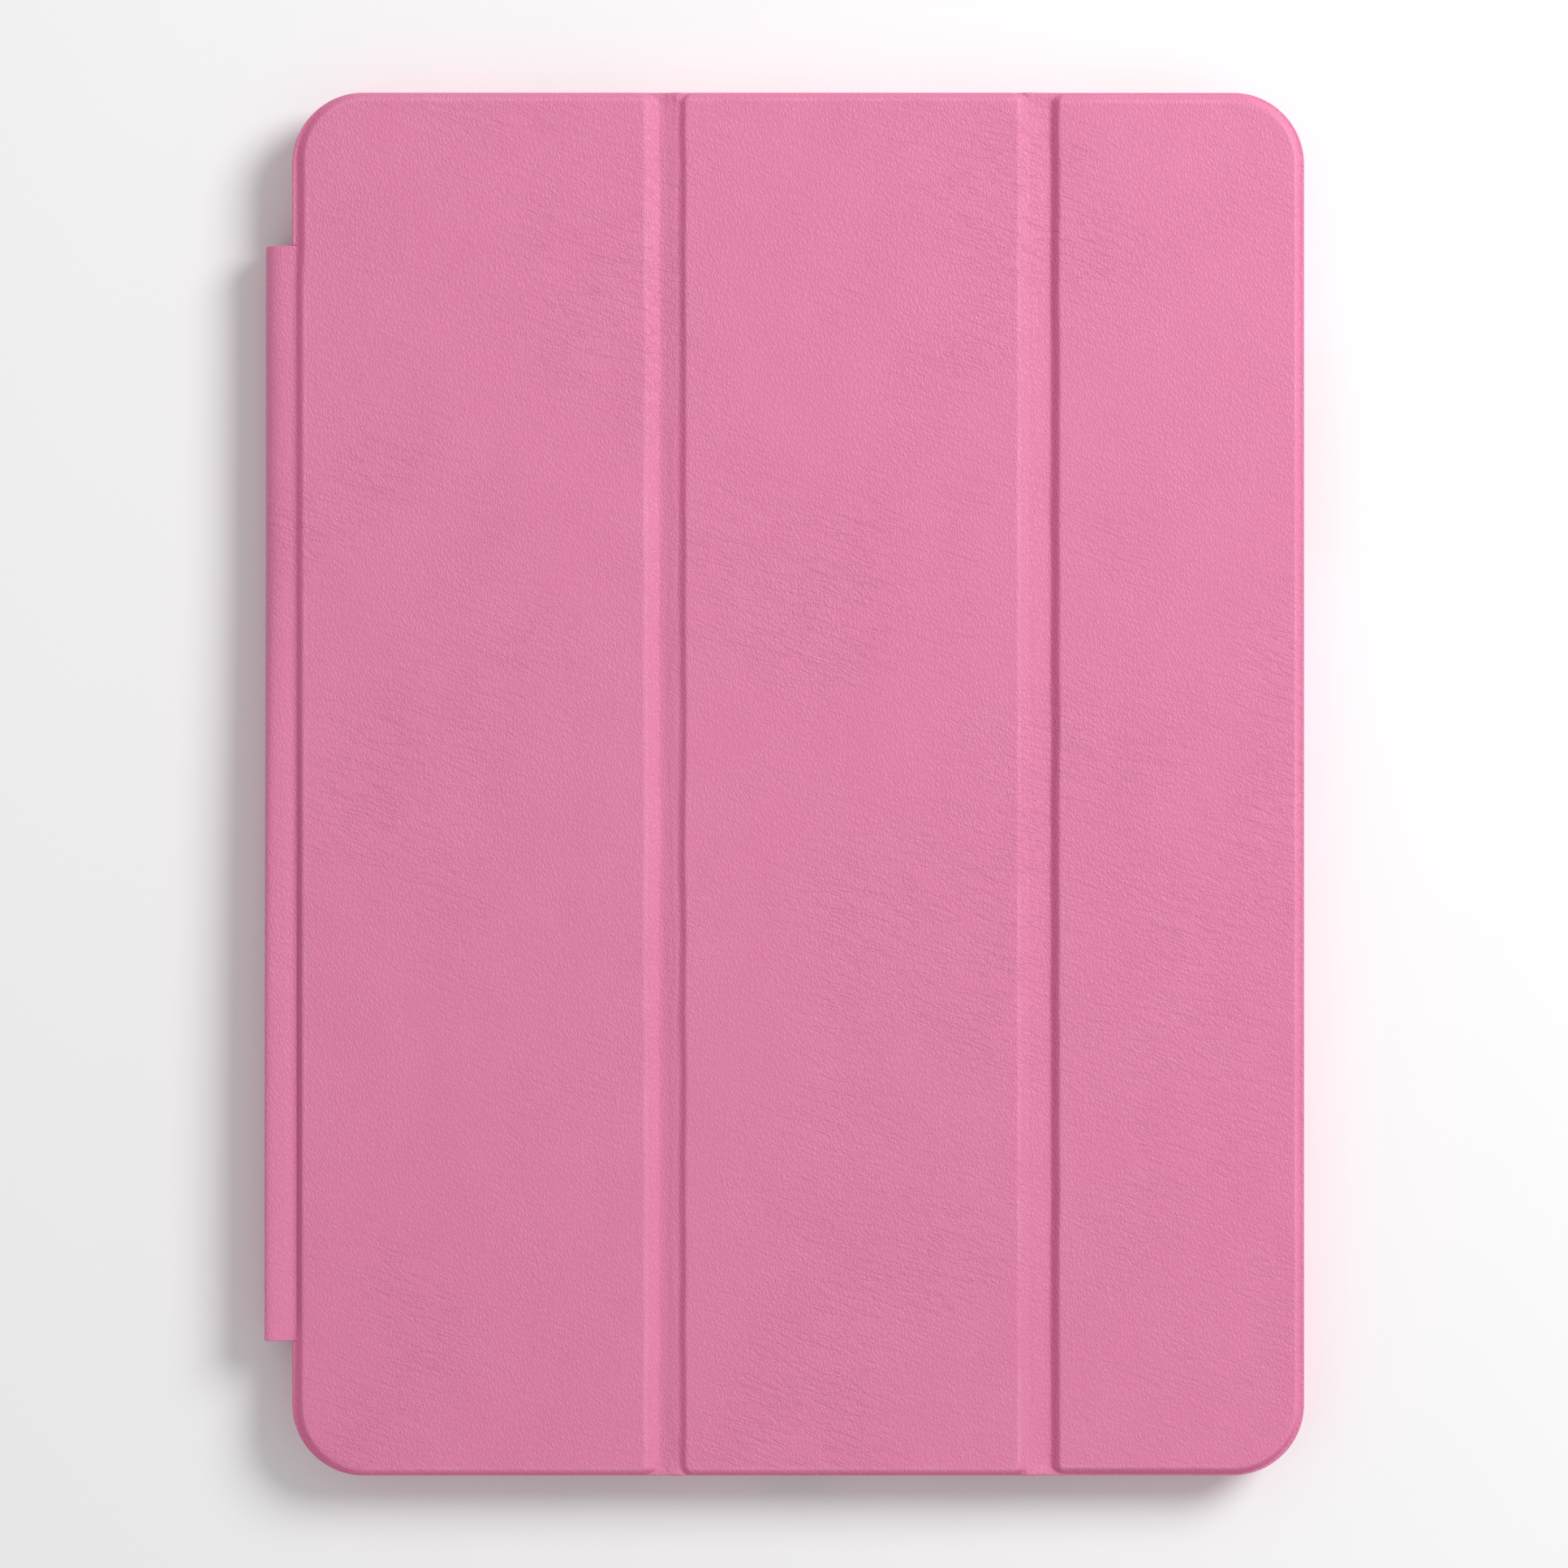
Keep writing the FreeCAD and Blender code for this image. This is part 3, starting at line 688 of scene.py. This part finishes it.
def bridge(first, second):
    """Faces between two loops of point numbers of the same length."""
    pairs = list(zip(first, second))
    return [(a, c, d, b) for (a, b), (c, d) in zip(pairs, pairs[1:] + pairs[:1])]


def fix_normals(mesh):
    build = bmesh.new()
    build.from_mesh(mesh)
    bmesh.ops.recalc_face_normals(build, faces=build.faces)
    build.to_mesh(mesh)
    build.free()


def cutter(name, x, y, z, round_xz=None):
    """The mesh of a box, or of a slot rounded across its width and height, from its limits in millimetres."""
    if round_xz:
        width, height = (x[1] - x[0]) / 2, (z[1] - z[0]) / 2
        cx, cz = (x[0] + x[1]) / 2, (z[0] + z[1]) / 2
        loop = [(cx + a, cz + b) for a, b, _, _ in rounded_path(-width, width, height, round_xz, 4.0)]
        loop = [p for k, p in enumerate(loop) if math.dist(p, loop[k - 1]) > 1e-4]
        count = len(loop)
        points = [(a, y[0], b) for a, b in loop] + [(a, y[1], b) for a, b in loop]
        faces = [(k, (k + 1) % count, count + (k + 1) % count, count + k) for k in range(count)]
        faces += [tuple(reversed(range(count))), tuple(range(count, 2 * count))]
    else:
        points = [(a, b, c) for c in z for b in y for a in x]
        faces = [(0, 2, 3, 1), (4, 5, 7, 6), (0, 1, 5, 4), (2, 6, 7, 3), (0, 4, 6, 2), (1, 3, 7, 5)]
    mesh = bpy.data.meshes.new(name)
    mesh.from_pydata([(a * MM, b * MM, c * MM) for a, b, c in points], [], faces)
    fix_normals(mesh)
    return mesh


def joined_cutters(meshes):
    build = bmesh.new()
    for mesh in meshes:
        build.from_mesh(mesh)
    whole = bpy.data.meshes.new("cutters")
    build.to_mesh(whole)
    build.free()
    obj = bpy.data.objects.new("cutters", whole)
    bpy.context.scene.collection.objects.link(obj)
    return obj


def carve(obj, tool):
    """Cut the tool out of the object for good."""
    modifier = obj.modifiers.new("cut", "BOOLEAN")
    modifier.operation = "DIFFERENCE"
    modifier.solver = "EXACT"
    modifier.object = tool
    bpy.context.view_layer.update()
    seen = obj.evaluated_get(bpy.context.evaluated_depsgraph_get())
    mesh = bpy.data.meshes.new_from_object(seen)
    old = obj.data
    obj.modifiers.clear()
    obj.data = mesh
    bpy.data.meshes.remove(old)


def wall_cuts():
    """The slots and notches through the tray's walls, as one object."""
    back_wall = THROUGH
    front_wall = (-THROUGH[1], -THROUGH[0])
    slot_corner = 0.95
    meshes = [cutter("port", PORT, front_wall, PORT_HEIGHTS, 2.2)]
    for wall in (front_wall, back_wall):
        meshes += [cutter("speaker", slot, wall, SLOT_HEIGHTS, slot_corner) for slot in SPEAKERS]
    meshes.append(cutter("microphone", MICROPHONE, back_wall, SLOT_HEIGHTS, slot_corner))
    meshes.append(cutter("power", POWER_NOTCH, THROUGH_NOTCH, NOTCH_HEIGHTS))
    meshes.append(cutter("volume", (88, 100), VOLUME_NOTCH, NOTCH_HEIGHTS))
    return joined_cutters(meshes)


def cut_walls(obj):
    """Turn a tray piece's faces outward and cut the walls' openings in it."""
    fix_normals(obj.data)
    tool = wall_cuts()
    carve(obj, tool)
    bpy.data.objects.remove(tool)
    smooth_shading(obj.data, TRAY_SHARP)
    store_rest(obj.data)


def tray_leather_profile(x, y, out):
    """Outside leather of the tray at one place: from the back, round the edge, up the wall and over its top,
    then down its inside. Under the spine the edge is tighter and its foot a little higher."""
    hinge = spine_share(y) if out[0] < -0.9 else 0.0
    radius = 1.2 - 1.0 * hinge
    low = 0.2 * hinge
    top_radius, inner_radius = 0.25, 0.4
    steps = [(4.0, 0.0), (2.4, low * 0.35)]
    for k in range(8):
        a = math.radians(90 * k / 7)
        steps.append((radius - radius * math.sin(a), low + radius - radius * math.cos(a)))
    steps += [(0.0, z) for z in (2.4, 3.8, 6.0, 7.8)]
    for k in range(5):
        a = math.radians(90 * k / 4)
        inset, height = top_radius * (1 - math.cos(a)), WALL_TOP - top_radius * (1 - math.sin(a))
        steps.append((inset, height))
    steps.append((0.45, 9.07))
    steps += [(TRAY_LEATHER, z) for z in (8.95, 8.0, 3.0, 1.0)]
    for k in range(1, 4):
        a = math.radians(90 * k / 4)
        steps.append((TRAY_LEATHER + inner_radius * (1 - math.cos(a)), 1.0 - inner_radius * math.sin(a)))
    steps += [(1.2, TRAY_LEATHER), (4.0, TRAY_LEATHER)]
    return steps


def build_tray_leather(material):
    path = rounded_path(TRAY_LEFT, TRAY_RIGHT, TRAY_END, TRAY_CORNER, 1.6)
    points, faces, loops = ring(path, tray_leather_profile)
    faces = [tuple(reversed(face)) for face in faces]
    outer_back = [i * loops for i in range(len(path))]
    outer_top = [i * loops + loops - 1 for i in range(len(path))]
    edge_out = add_loop(points, window_path(0.35), 0.0)
    edge_mid = add_loop(points, window_path(0.1), 0.1)
    edge_in = add_loop(points, window_path(0.0), 0.3)
    edge_top = add_loop(points, window_path(0.0), TRAY_LEATHER)
    faces += fill_between(points, outer_back, [edge_out], up=False)
    faces += fill_between(points, outer_top, [edge_top], up=True)
    for first, second in ((edge_out, edge_mid), (edge_mid, edge_in), (edge_in, edge_top)):
        faces += bridge(first, second)
    obj = make_object("tray_leather", points, faces, material)
    cut_walls(obj)
    return obj


def lip_share(x, y, out):
    """1 where a corner's lip reaches over the tablet, 0 along the low rails."""
    left, right, end = BAY
    middle = (left + right) / 2
    along_x = (right - left) / 2 - LIP_LENGTH
    along_y = end - LIP_LENGTH
    ease = 1.6
    if abs(out[0]) > 0.999:
        return ramp(abs(y), along_y, along_y + ease)
    if abs(out[1]) > 0.999:
        return ramp(abs(x - middle), along_x, along_x + ease)
    return 1.0


def moulding_profile(x, y, out):
    """The moulding at one place: up its outside, over the lip or rail, and down into the bay."""
    lip = lip_share(x, y, out)
    side_wall, end_wall, lip_reach = 1.9, 1.15, 0.9
    wall = side_wall * abs(out[0]) ** 2 + end_wall * abs(out[1]) ** 2
    reach = wall + lip_reach * lip
    outer, inner = 0.25, 0.45
    steps = [(4.0, BACK_TOP), (0.5, BACK_TOP), (0.15, 0.7), (0.0, 1.0), (0.0, 4.0), (0.0, 9.0)]
    for k in range(1, 5):
        a = math.radians(90 * k / 4)
        steps.append((outer - outer * math.cos(a), RIM_TOP - outer + outer * math.sin(a)))
    steps.append((reach - inner, RIM_TOP))
    for k in range(1, 4):
        a = math.radians(90 * k / 3)
        steps.append((reach - inner + inner * math.sin(a), RIM_TOP - inner + inner * math.cos(a)))
    steps += [(reach, 8.6), (reach - 0.12 * lip, LIP_UNDERSIDE)]
    steps.append((wall + 0.3 * lip, LIP_UNDERSIDE - 0.02 * (1 - lip)))
    steps += [(wall, z) for z in (8.15, 5.0, 2.6)]
    steps += [(wall + 0.3, 2.0), (wall + 0.8, FLOOR_TOP), (3.2, FLOOR_TOP)]
    return steps


def build_moulding(material):
    inset = TRAY_LEATHER
    path = rounded_path(TRAY_LEFT + inset, TRAY_RIGHT - inset, TRAY_END - inset, TRAY_CORNER - inset, 1.6)
    points, faces, loops = ring(path, moulding_profile)
    outer_back = [i * loops for i in range(len(path))]
    outer_top = [i * loops + loops - 1 for i in range(len(path))]
    edge_back = add_loop(points, window_path(0.0), BACK_TOP)
    edge_top = add_loop(points, window_path(0.0), FLOOR_TOP)
    faces += fill_between(points, outer_back, [edge_back], up=False)
    faces += fill_between(points, outer_top, [edge_top], up=True)
    faces += bridge(edge_back, edge_top)
    obj = make_object("tray_moulding", points, faces, material)
    cut_walls(obj)
    return obj


def build_tray_lining(material):
    left, right, end = BAY
    gap = 0.05
    path = rounded_path(left + gap, right - gap, end - gap, 10.5, 2.5)
    edge = ((1.0, FLOOR_TOP), (0.0, FLOOR_TOP), (0.0, 2.05), (0.06, 2.15))
    face = ((0.2, SEAT), (0.6, SEAT), (1.3, SEAT - 0.01), (2.1, SEAT))

    def profile(x, y, out):
        return edge + face

    points, faces, loops = ring(path, profile)
    outer_back = [i * loops for i in range(len(path))]
    outer_top = [i * loops + loops - 1 for i in range(len(path))]
    low = add_loop(points, window_path(gap), FLOOR_TOP)
    mid = add_loop(points, window_path(gap), SEAT - 0.1)
    high = add_loop(points, window_path(0.18), SEAT)
    faces += fill_between(points, outer_back, [low], up=False)
    faces += fill_between(points, outer_top, [high], up=True)
    faces += bridge(low, mid) + bridge(mid, high)
    obj = make_object("tray_lining_sheet", points, faces, material)
    fix_normals(obj.data)
    smooth_shading(obj.data, TRAY_SHARP)
    return obj


# ---- materials ----


class Nodes:
    """A small helper that adds and links shader nodes."""

    def __init__(self, name):
        self.material = bpy.data.materials.new(name)
        self.material.use_nodes = True
        self.tree = self.material.node_tree
        self.tree.nodes.clear()
        self.output = self.tree.nodes.new("ShaderNodeOutputMaterial")
        self.shader = self.tree.nodes.new("ShaderNodeBsdfPrincipled")
        self.link(self.shader.outputs[0], self.output.inputs[0])

    def link(self, source, target):
        self.tree.links.new(source, target)

    def set(self, socket, value):
        if hasattr(value, "is_output"):
            self.link(value, socket)
        else:
            socket.default_value = value

    def attribute(self, name, output):
        node = self.tree.nodes.new("ShaderNodeAttribute")
        node.attribute_name = name
        return node.outputs[output]

    def mapping(self, vector, scale, turn=(0.0, 0.0, 0.0)):
        """Millimetre-scaled coordinates: turned first, then stretched by cells per millimetre."""
        node = self.tree.nodes.new("ShaderNodeMapping")
        node.vector_type = "POINT"
        node.inputs["Rotation"].default_value = [math.radians(a) for a in turn]
        self.link(vector, node.inputs["Vector"])
        stretch = self.tree.nodes.new("ShaderNodeMapping")
        stretch.inputs["Scale"].default_value = [s / MM for s in scale]
        self.link(node.outputs[0], stretch.inputs["Vector"])
        return stretch.outputs[0]

    def noise(self, vector, detail=2.0, rough=0.5, distortion=0.0):
        node = self.tree.nodes.new("ShaderNodeTexNoise")
        node.inputs["Scale"].default_value = 1.0
        node.inputs["Detail"].default_value = detail
        node.inputs["Roughness"].default_value = rough
        node.inputs["Distortion"].default_value = distortion
        self.link(vector, node.inputs["Vector"])
        return node.outputs["Fac"]

    def cells(self, vector):
        """Distance to the edge between cells."""
        node = self.tree.nodes.new("ShaderNodeTexVoronoi")
        node.feature = "DISTANCE_TO_EDGE"
        node.inputs["Scale"].default_value = 1.0
        node.inputs["Randomness"].default_value = 1.0
        self.link(vector, node.inputs["Vector"])
        return node.outputs["Distance"]

    def math(self, operation, a, b=0.0, c=0.0):
        node = self.tree.nodes.new("ShaderNodeMath")
        node.operation = operation
        for socket, value in zip(node.inputs, (a, b, c)):
            self.set(socket, value)
        return node.outputs[0]

    def remap(self, value, low, high, to_low=0.0, to_high=1.0):
        node = self.tree.nodes.new("ShaderNodeMapRange")
        node.clamp = True
        for name, number in (("From Min", low), ("From Max", high), ("To Min", to_low), ("To Max", to_high)):
            node.inputs[name].default_value = number
        self.link(value, node.inputs["Value"])
        return node.outputs[0]

    def mix(self, factor, a, b):
        node = self.tree.nodes.new("ShaderNodeMix")
        node.data_type = "RGBA"
        self.set(node.inputs[0], factor)
        for socket, value in zip((node.inputs[6], node.inputs[7]), (a, b)):
            self.set(socket, value)
        return node.outputs[2]

    def bend_vector(self, vector, amount, scale):
        """The coordinates, pushed about a little by noise so that cells are not regular."""
        node = self.tree.nodes.new("ShaderNodeTexNoise")
        node.inputs["Scale"].default_value = scale
        node.inputs["Detail"].default_value = 1.0
        self.link(vector, node.inputs["Vector"])
        shift = self.tree.nodes.new("ShaderNodeVectorMath")
        shift.operation = "MULTIPLY_ADD"
        self.link(node.outputs["Color"], shift.inputs[0])
        shift.inputs[1].default_value = (amount, amount, amount)
        self.link(vector, shift.inputs[2])
        return shift.outputs[0]

    def bump(self, height, distance):
        """A normal from a height whose step from 0 to 1 is this many millimetres."""
        node = self.tree.nodes.new("ShaderNodeBump")
        node.inputs["Strength"].default_value = 1.0
        node.inputs["Distance"].default_value = distance * MM
        self.link(height, node.inputs["Height"])
        return node.outputs[0]


def leather_material():
    n = Nodes("case_leather")
    rest = n.attribute("rest", "Vector")
    wear_and_painted_light = n.attribute("wear_and_painted_light", "Fac")
    # pebbles with narrow valleys, longer along the spine and leaning a little
    grain_space = n.bend_vector(n.mapping(rest, (1.85, 0.75, 1.85), (0, 0, -15)), 0.7, 1.3)
    pebbles = n.remap(n.cells(grain_space), 0.0, 0.22)
    fine = n.noise(n.mapping(rest, (4.6, 1.7, 4.6), (0, 0, -15)), 2.0, 0.6)
    # long faint creases that run down to the right, in patches
    crease_space = n.bend_vector(n.mapping(rest, (0.1, 0.62, 0.62), (0, 0, 20)), 0.8, 1.6)
    ridge = n.math("ABSOLUTE", n.math("SUBTRACT", n.noise(crease_space, 3.0, 0.6, 0.3), 0.5))
    crease = n.remap(ridge, 0.0, 0.05)
    patch = n.remap(n.noise(n.mapping(rest, (0.035, 0.03, 0.035)), 1.0), 0.35, 0.7, 0.1, 1.0)
    crease_part = n.math("MULTIPLY", n.math("SUBTRACT", crease, 1.0), n.math("MULTIPLY", patch, 1.05))
    strength = n.remap(n.noise(n.mapping(rest, (0.05, 0.035, 0.05)), 2.0), 0.3, 0.7, 0.75, 1.1)
    height = n.math("MULTIPLY_ADD", fine, 1.1, n.math("MULTIPLY", pebbles, strength))
    # colour: deeper in the hollows, painted shade on the slopes that face away from the light, and paler
    # where handling has worn the edges, which is kept only on the sides facing the light and so is partly a
    # painted highlight
    mottle = n.noise(n.mapping(rest, (0.09, 0.055, 0.09)), 3.0, 0.55)
    base = n.mix(n.remap(mottle, 0.3, 0.7), (0.745, 0.217, 0.388, 1), (0.765, 0.23, 0.403, 1))
    base = n.mix(n.remap(height, 0.3, 1.3, 0.2, 0.0), base, (0.58, 0.11, 0.24, 1))
    # painted shade: a deeper colour on the slopes that face away from the light
    base = n.mix(n.remap(wear_and_painted_light, 0.0, -1.0), base, (0.69, 0.155, 0.32, 1))
    # edges paler from handling, but only on the sides that face the light, so partly a painted highlight
    rubbed_and_highlight = n.math("MULTIPLY", n.remap(wear_and_painted_light, 0.1, 0.9), n.remap(mottle, 0.35, 0.65, 0.3, 1.0))
    base = n.mix(n.math("MULTIPLY", rubbed_and_highlight, 0.4), base, (0.86, 0.33, 0.5, 1))
    n.set(n.shader.inputs["Base Color"], base)
    rough = n.remap(height, 0.2, 1.6, 0.62, 0.42)
    n.set(n.shader.inputs["Roughness"], n.math("SUBTRACT", rough, n.math("MULTIPLY", rubbed_and_highlight, 0.06)))
    n.shader.inputs["Specular IOR Level"].default_value = 0.32
    n.set(n.shader.inputs["Normal"], n.bump(n.math("ADD", height, crease_part), 0.052))
    return n.material


def microfibre_material():
    n = Nodes("microfibre")
    rest = n.attribute("rest", "Vector")
    wear_and_painted_light = n.attribute("wear_and_painted_light", "Fac")
    nap = n.noise(n.mapping(rest, (2.6, 2.6, 2.6)), 4.0, 0.75)
    brushed = n.noise(n.mapping(rest, (0.03, 0.012, 0.03), (0, 0, 12)), 2.0, 0.5)
    base = n.mix(n.remap(brushed, 0.3, 0.7), (0.54, 0.225, 0.335, 1), (0.56, 0.24, 0.35, 1))
    base = n.mix(n.remap(nap, 0.3, 0.75, 0.5, 0.0), base, (0.35, 0.11, 0.19, 1))
    base = n.mix(n.remap(wear_and_painted_light, 0.0, -1.0, 0.0, 0.45), base, (0.3, 0.085, 0.16, 1))
    n.set(n.shader.inputs["Base Color"], base)
    n.set(n.shader.inputs["Roughness"], n.remap(nap, 0.3, 0.7, 0.95, 0.82))
    n.shader.inputs["Specular IOR Level"].default_value = 0.2
    n.shader.inputs["Sheen Weight"].default_value = 0.35
    n.shader.inputs["Sheen Roughness"].default_value = 0.45
    n.shader.inputs["Sheen Tint"].default_value = (1.0, 0.82, 0.88, 1)
    n.set(n.shader.inputs["Normal"], n.bump(nap, 0.07))
    return n.material


def moulding_material():
    n = Nodes("tray_plastic")
    rest = n.attribute("rest", "Vector")
    spark = n.noise(n.mapping(rest, (3.0, 3.0, 3.0)), 2.0, 0.6)
    cloud = n.noise(n.mapping(rest, (0.05, 0.05, 0.05)), 2.0)
    base = n.mix(n.remap(cloud, 0.35, 0.65), (0.6, 0.15, 0.29, 1), (0.66, 0.18, 0.33, 1))
    n.set(n.shader.inputs["Base Color"], base)
    n.set(n.shader.inputs["Roughness"], n.remap(spark, 0.3, 0.7, 0.42, 0.58))
    n.set(n.shader.inputs["Normal"], n.bump(spark, 0.012))
    return n.material


def board_material():
    n = Nodes("stiff_board")
    rest = n.attribute("rest", "Vector")
    fibre = n.noise(n.mapping(rest, (0.5, 2.5, 2.5)), 4.0, 0.65)
    base = n.mix(n.remap(fibre, 0.35, 0.65), (0.3, 0.29, 0.27, 1), (0.42, 0.41, 0.38, 1))
    n.set(n.shader.inputs["Base Color"], base)
    n.set(n.shader.inputs["Roughness"], n.remap(fibre, 0.3, 0.7, 0.75, 0.9))
    n.set(n.shader.inputs["Normal"], n.bump(fibre, 0.03))
    return n.material


def magnet_material():
    n = Nodes("magnet_plating")
    rest = n.attribute("rest", "Vector")
    scratch = n.noise(n.mapping(rest, (6.0, 0.6, 6.0)), 3.0, 0.6)
    base = n.mix(n.remap(scratch, 0.3, 0.7), (0.55, 0.55, 0.55, 1), (0.68, 0.68, 0.67, 1))
    n.set(n.shader.inputs["Base Color"], base)
    n.shader.inputs["Metallic"].default_value = 1.0
    n.set(n.shader.inputs["Roughness"], n.remap(scratch, 0.3, 0.7, 0.22, 0.4))
    n.set(n.shader.inputs["Normal"], n.bump(scratch, 0.004))
    return n.material


def floor_material():
    n = Nodes("studio_floor")
    n.shader.inputs["Base Color"].default_value = (0.93, 0.93, 0.93, 1)
    n.shader.inputs["Roughness"].default_value = 0.9
    n.shader.inputs["Specular IOR Level"].default_value = 0.1
    return n.material


leather = leather_material()
microfibre = microfibre_material()
plastic = moulding_material()
board = board_material()
plating = magnet_material()

# ---- build the pieces ----

hinge_side = cover_leather("cover_leather_hinge_side", COVER_COLUMNS_A, leather)
free_side = cover_leather("cover_leather_free_side", COVER_COLUMNS_B, leather)
lining_a = cover_lining("cover_lining_hinge_side", LINING_COLUMNS_A, microfibre)
lining_b = cover_lining("cover_lining_free_side", LINING_COLUMNS_B, microfibre)


def leather_arc(name, first, last, count):
    return strip(name, arc_profile(first, last, count, spine_outside, spine_inside), leather)


def lining_arc(name, first, last, count):
    return strip(name, arc_profile(first, last, count, spine_inside, lining_inside), microfibre)


spine_cover = strip("spine_leather_cover_end", spine_cover_profile, leather)
spine_middle = leather_arc("spine_leather_middle", LOWER_JOIN, UPPER_JOIN, 26)
spine_tray = leather_arc("spine_leather_tray_end", ROLL_BOTTOM, LOWER_JOIN, 20)
spine_lining_cover = lining_arc("spine_lining_cover_end", UPPER_JOIN, ROLL_TOP, 16)
spine_lining_middle = lining_arc("spine_lining_middle", LOWER_JOIN, UPPER_JOIN, 22)
spine_lining_tray = lining_arc("spine_lining_tray_end", ROLL_BOTTOM, LOWER_JOIN, 16)

tray_leather = build_tray_leather(leather)
tray_moulding = build_moulding(plastic)
tray_lining = build_tray_lining(microfibre)

# ---- tie the tray's pieces to the frame ----

# where the bend of each fold starts and ends
FOLDS = {
    "fold_1": ((-22.9, 0, 10.2), (-19.5, 0, 10.2)),
    "fold_2": ((44.6, 0, 10.2), (48.4, 0, 10.2)),
}


def metres(point):
    return tuple(v * MM for v in point)


for piece in (hinge_side, lining_a):
    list(map(metres, FOLDS["fold_1"]))
    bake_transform(piece)
for piece in (free_side, lining_b):
    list(map(metres, FOLDS["fold_2"]))
    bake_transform(piece)


def arc_place(angle):
    """A place in the middle of the roll's leather."""
    a = math.radians(angle)
    middle = SPINE_RADIUS - 0.55
    return metres((COVER_LEFT + middle * math.cos(a), 0, SPINE_Z + middle * math.sin(a)))


for piece in (spine_cover, spine_lining_cover):
    arc_place(122)
    arc_place(90)
    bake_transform(piece)
for piece in (spine_middle, spine_lining_middle):
    arc_place(197)
    arc_place(163)
    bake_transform(piece)
for piece in (spine_tray, spine_lining_tray):
    arc_place(270)
    arc_place(238)
    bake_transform(piece)
for piece in (tray_leather, tray_moulding, tray_lining):
    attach(piece, "tray")

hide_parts("panel_1_skin", "fold_1_skin", "panel_2_skin")
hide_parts("fold_2_skin", "panel_3_skin")
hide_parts("panel_1_lining", "fold_1_lining", "panel_2_lining")
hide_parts("fold_2_lining", "panel_3_lining")
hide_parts("cover_root_skin", "spine_upper_skin")
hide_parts("spine_bend_skin", "spine_lower_skin")
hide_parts("tray_root_skin")
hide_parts("cover_root_lining", "spine_upper_lining")
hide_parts("spine_bend_lining", "spine_lower_lining")
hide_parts("tray_root_lining")
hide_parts("back_skin", "side_skin")
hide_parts("tray_floor", "tray_corners", "tray_side_rails", "tray_end_rails")
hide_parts("tray_lining")

for name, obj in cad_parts.items():
    if obj.hide_render:
        continue
    kind = board if name.endswith("_board") else plating
    obj.data.materials.clear()
    obj.data.materials.append(kind)
    store_rest(obj.data)

# ---- floor, light and camera ----

floor_mesh = bpy.data.meshes.new("studio_floor")
half = 4.0
floor_corners = [(-half, -half, 0), (half, -half, 0), (half, half, 0), (-half, half, 0)]
floor_mesh.from_pydata(floor_corners, [], [(0, 1, 2, 3)])
floor_mesh.materials.append(floor_material())
floor = bpy.data.objects.new("studio_floor", floor_mesh)
bpy.context.scene.collection.objects.link(floor)

world = bpy.data.worlds.new("studio")
world.use_nodes = True
world.node_tree.nodes["Background"].inputs["Color"].default_value = (1.0, 1.0, 1.0, 1)
world.node_tree.nodes["Background"].inputs["Strength"].default_value = 0.48
bpy.context.scene.world = world


def soft_light(name, place, size, power):
    """A round lamp, size metres wide, that looks at the case."""
    light = bpy.data.lights.new(name, "AREA")
    light.shape = "DISK"
    light.size = size
    light.energy = power
    obj = bpy.data.objects.new(name, light)
    obj.location = place
    obj.rotation_euler = (-Vector(place)).to_track_quat("-Z", "Y").to_euler()
    bpy.context.scene.collection.objects.link(obj)


soft_light("key", (0.75, 0.51, 0.8), 0.6, 11.2)
soft_light("fill", (-0.9, -0.3, 1.4), 1.0, 1.2)

# straight above the case, so that its outline fills the picture
camera = bpy.data.cameras.new("camera")
camera.type = "PERSP"
camera.lens = 120.0
camera.sensor_width = 36.0
camera.clip_start = 0.01
camera_object = bpy.data.objects.new("camera", camera)
camera_object.location = (0.0, 0.0, 0.964)
bpy.context.scene.collection.objects.link(camera_object)
bpy.context.scene.camera = camera_object
bpy.context.scene.view_settings.view_transform = "Standard"

bpy.context.view_layer.update()
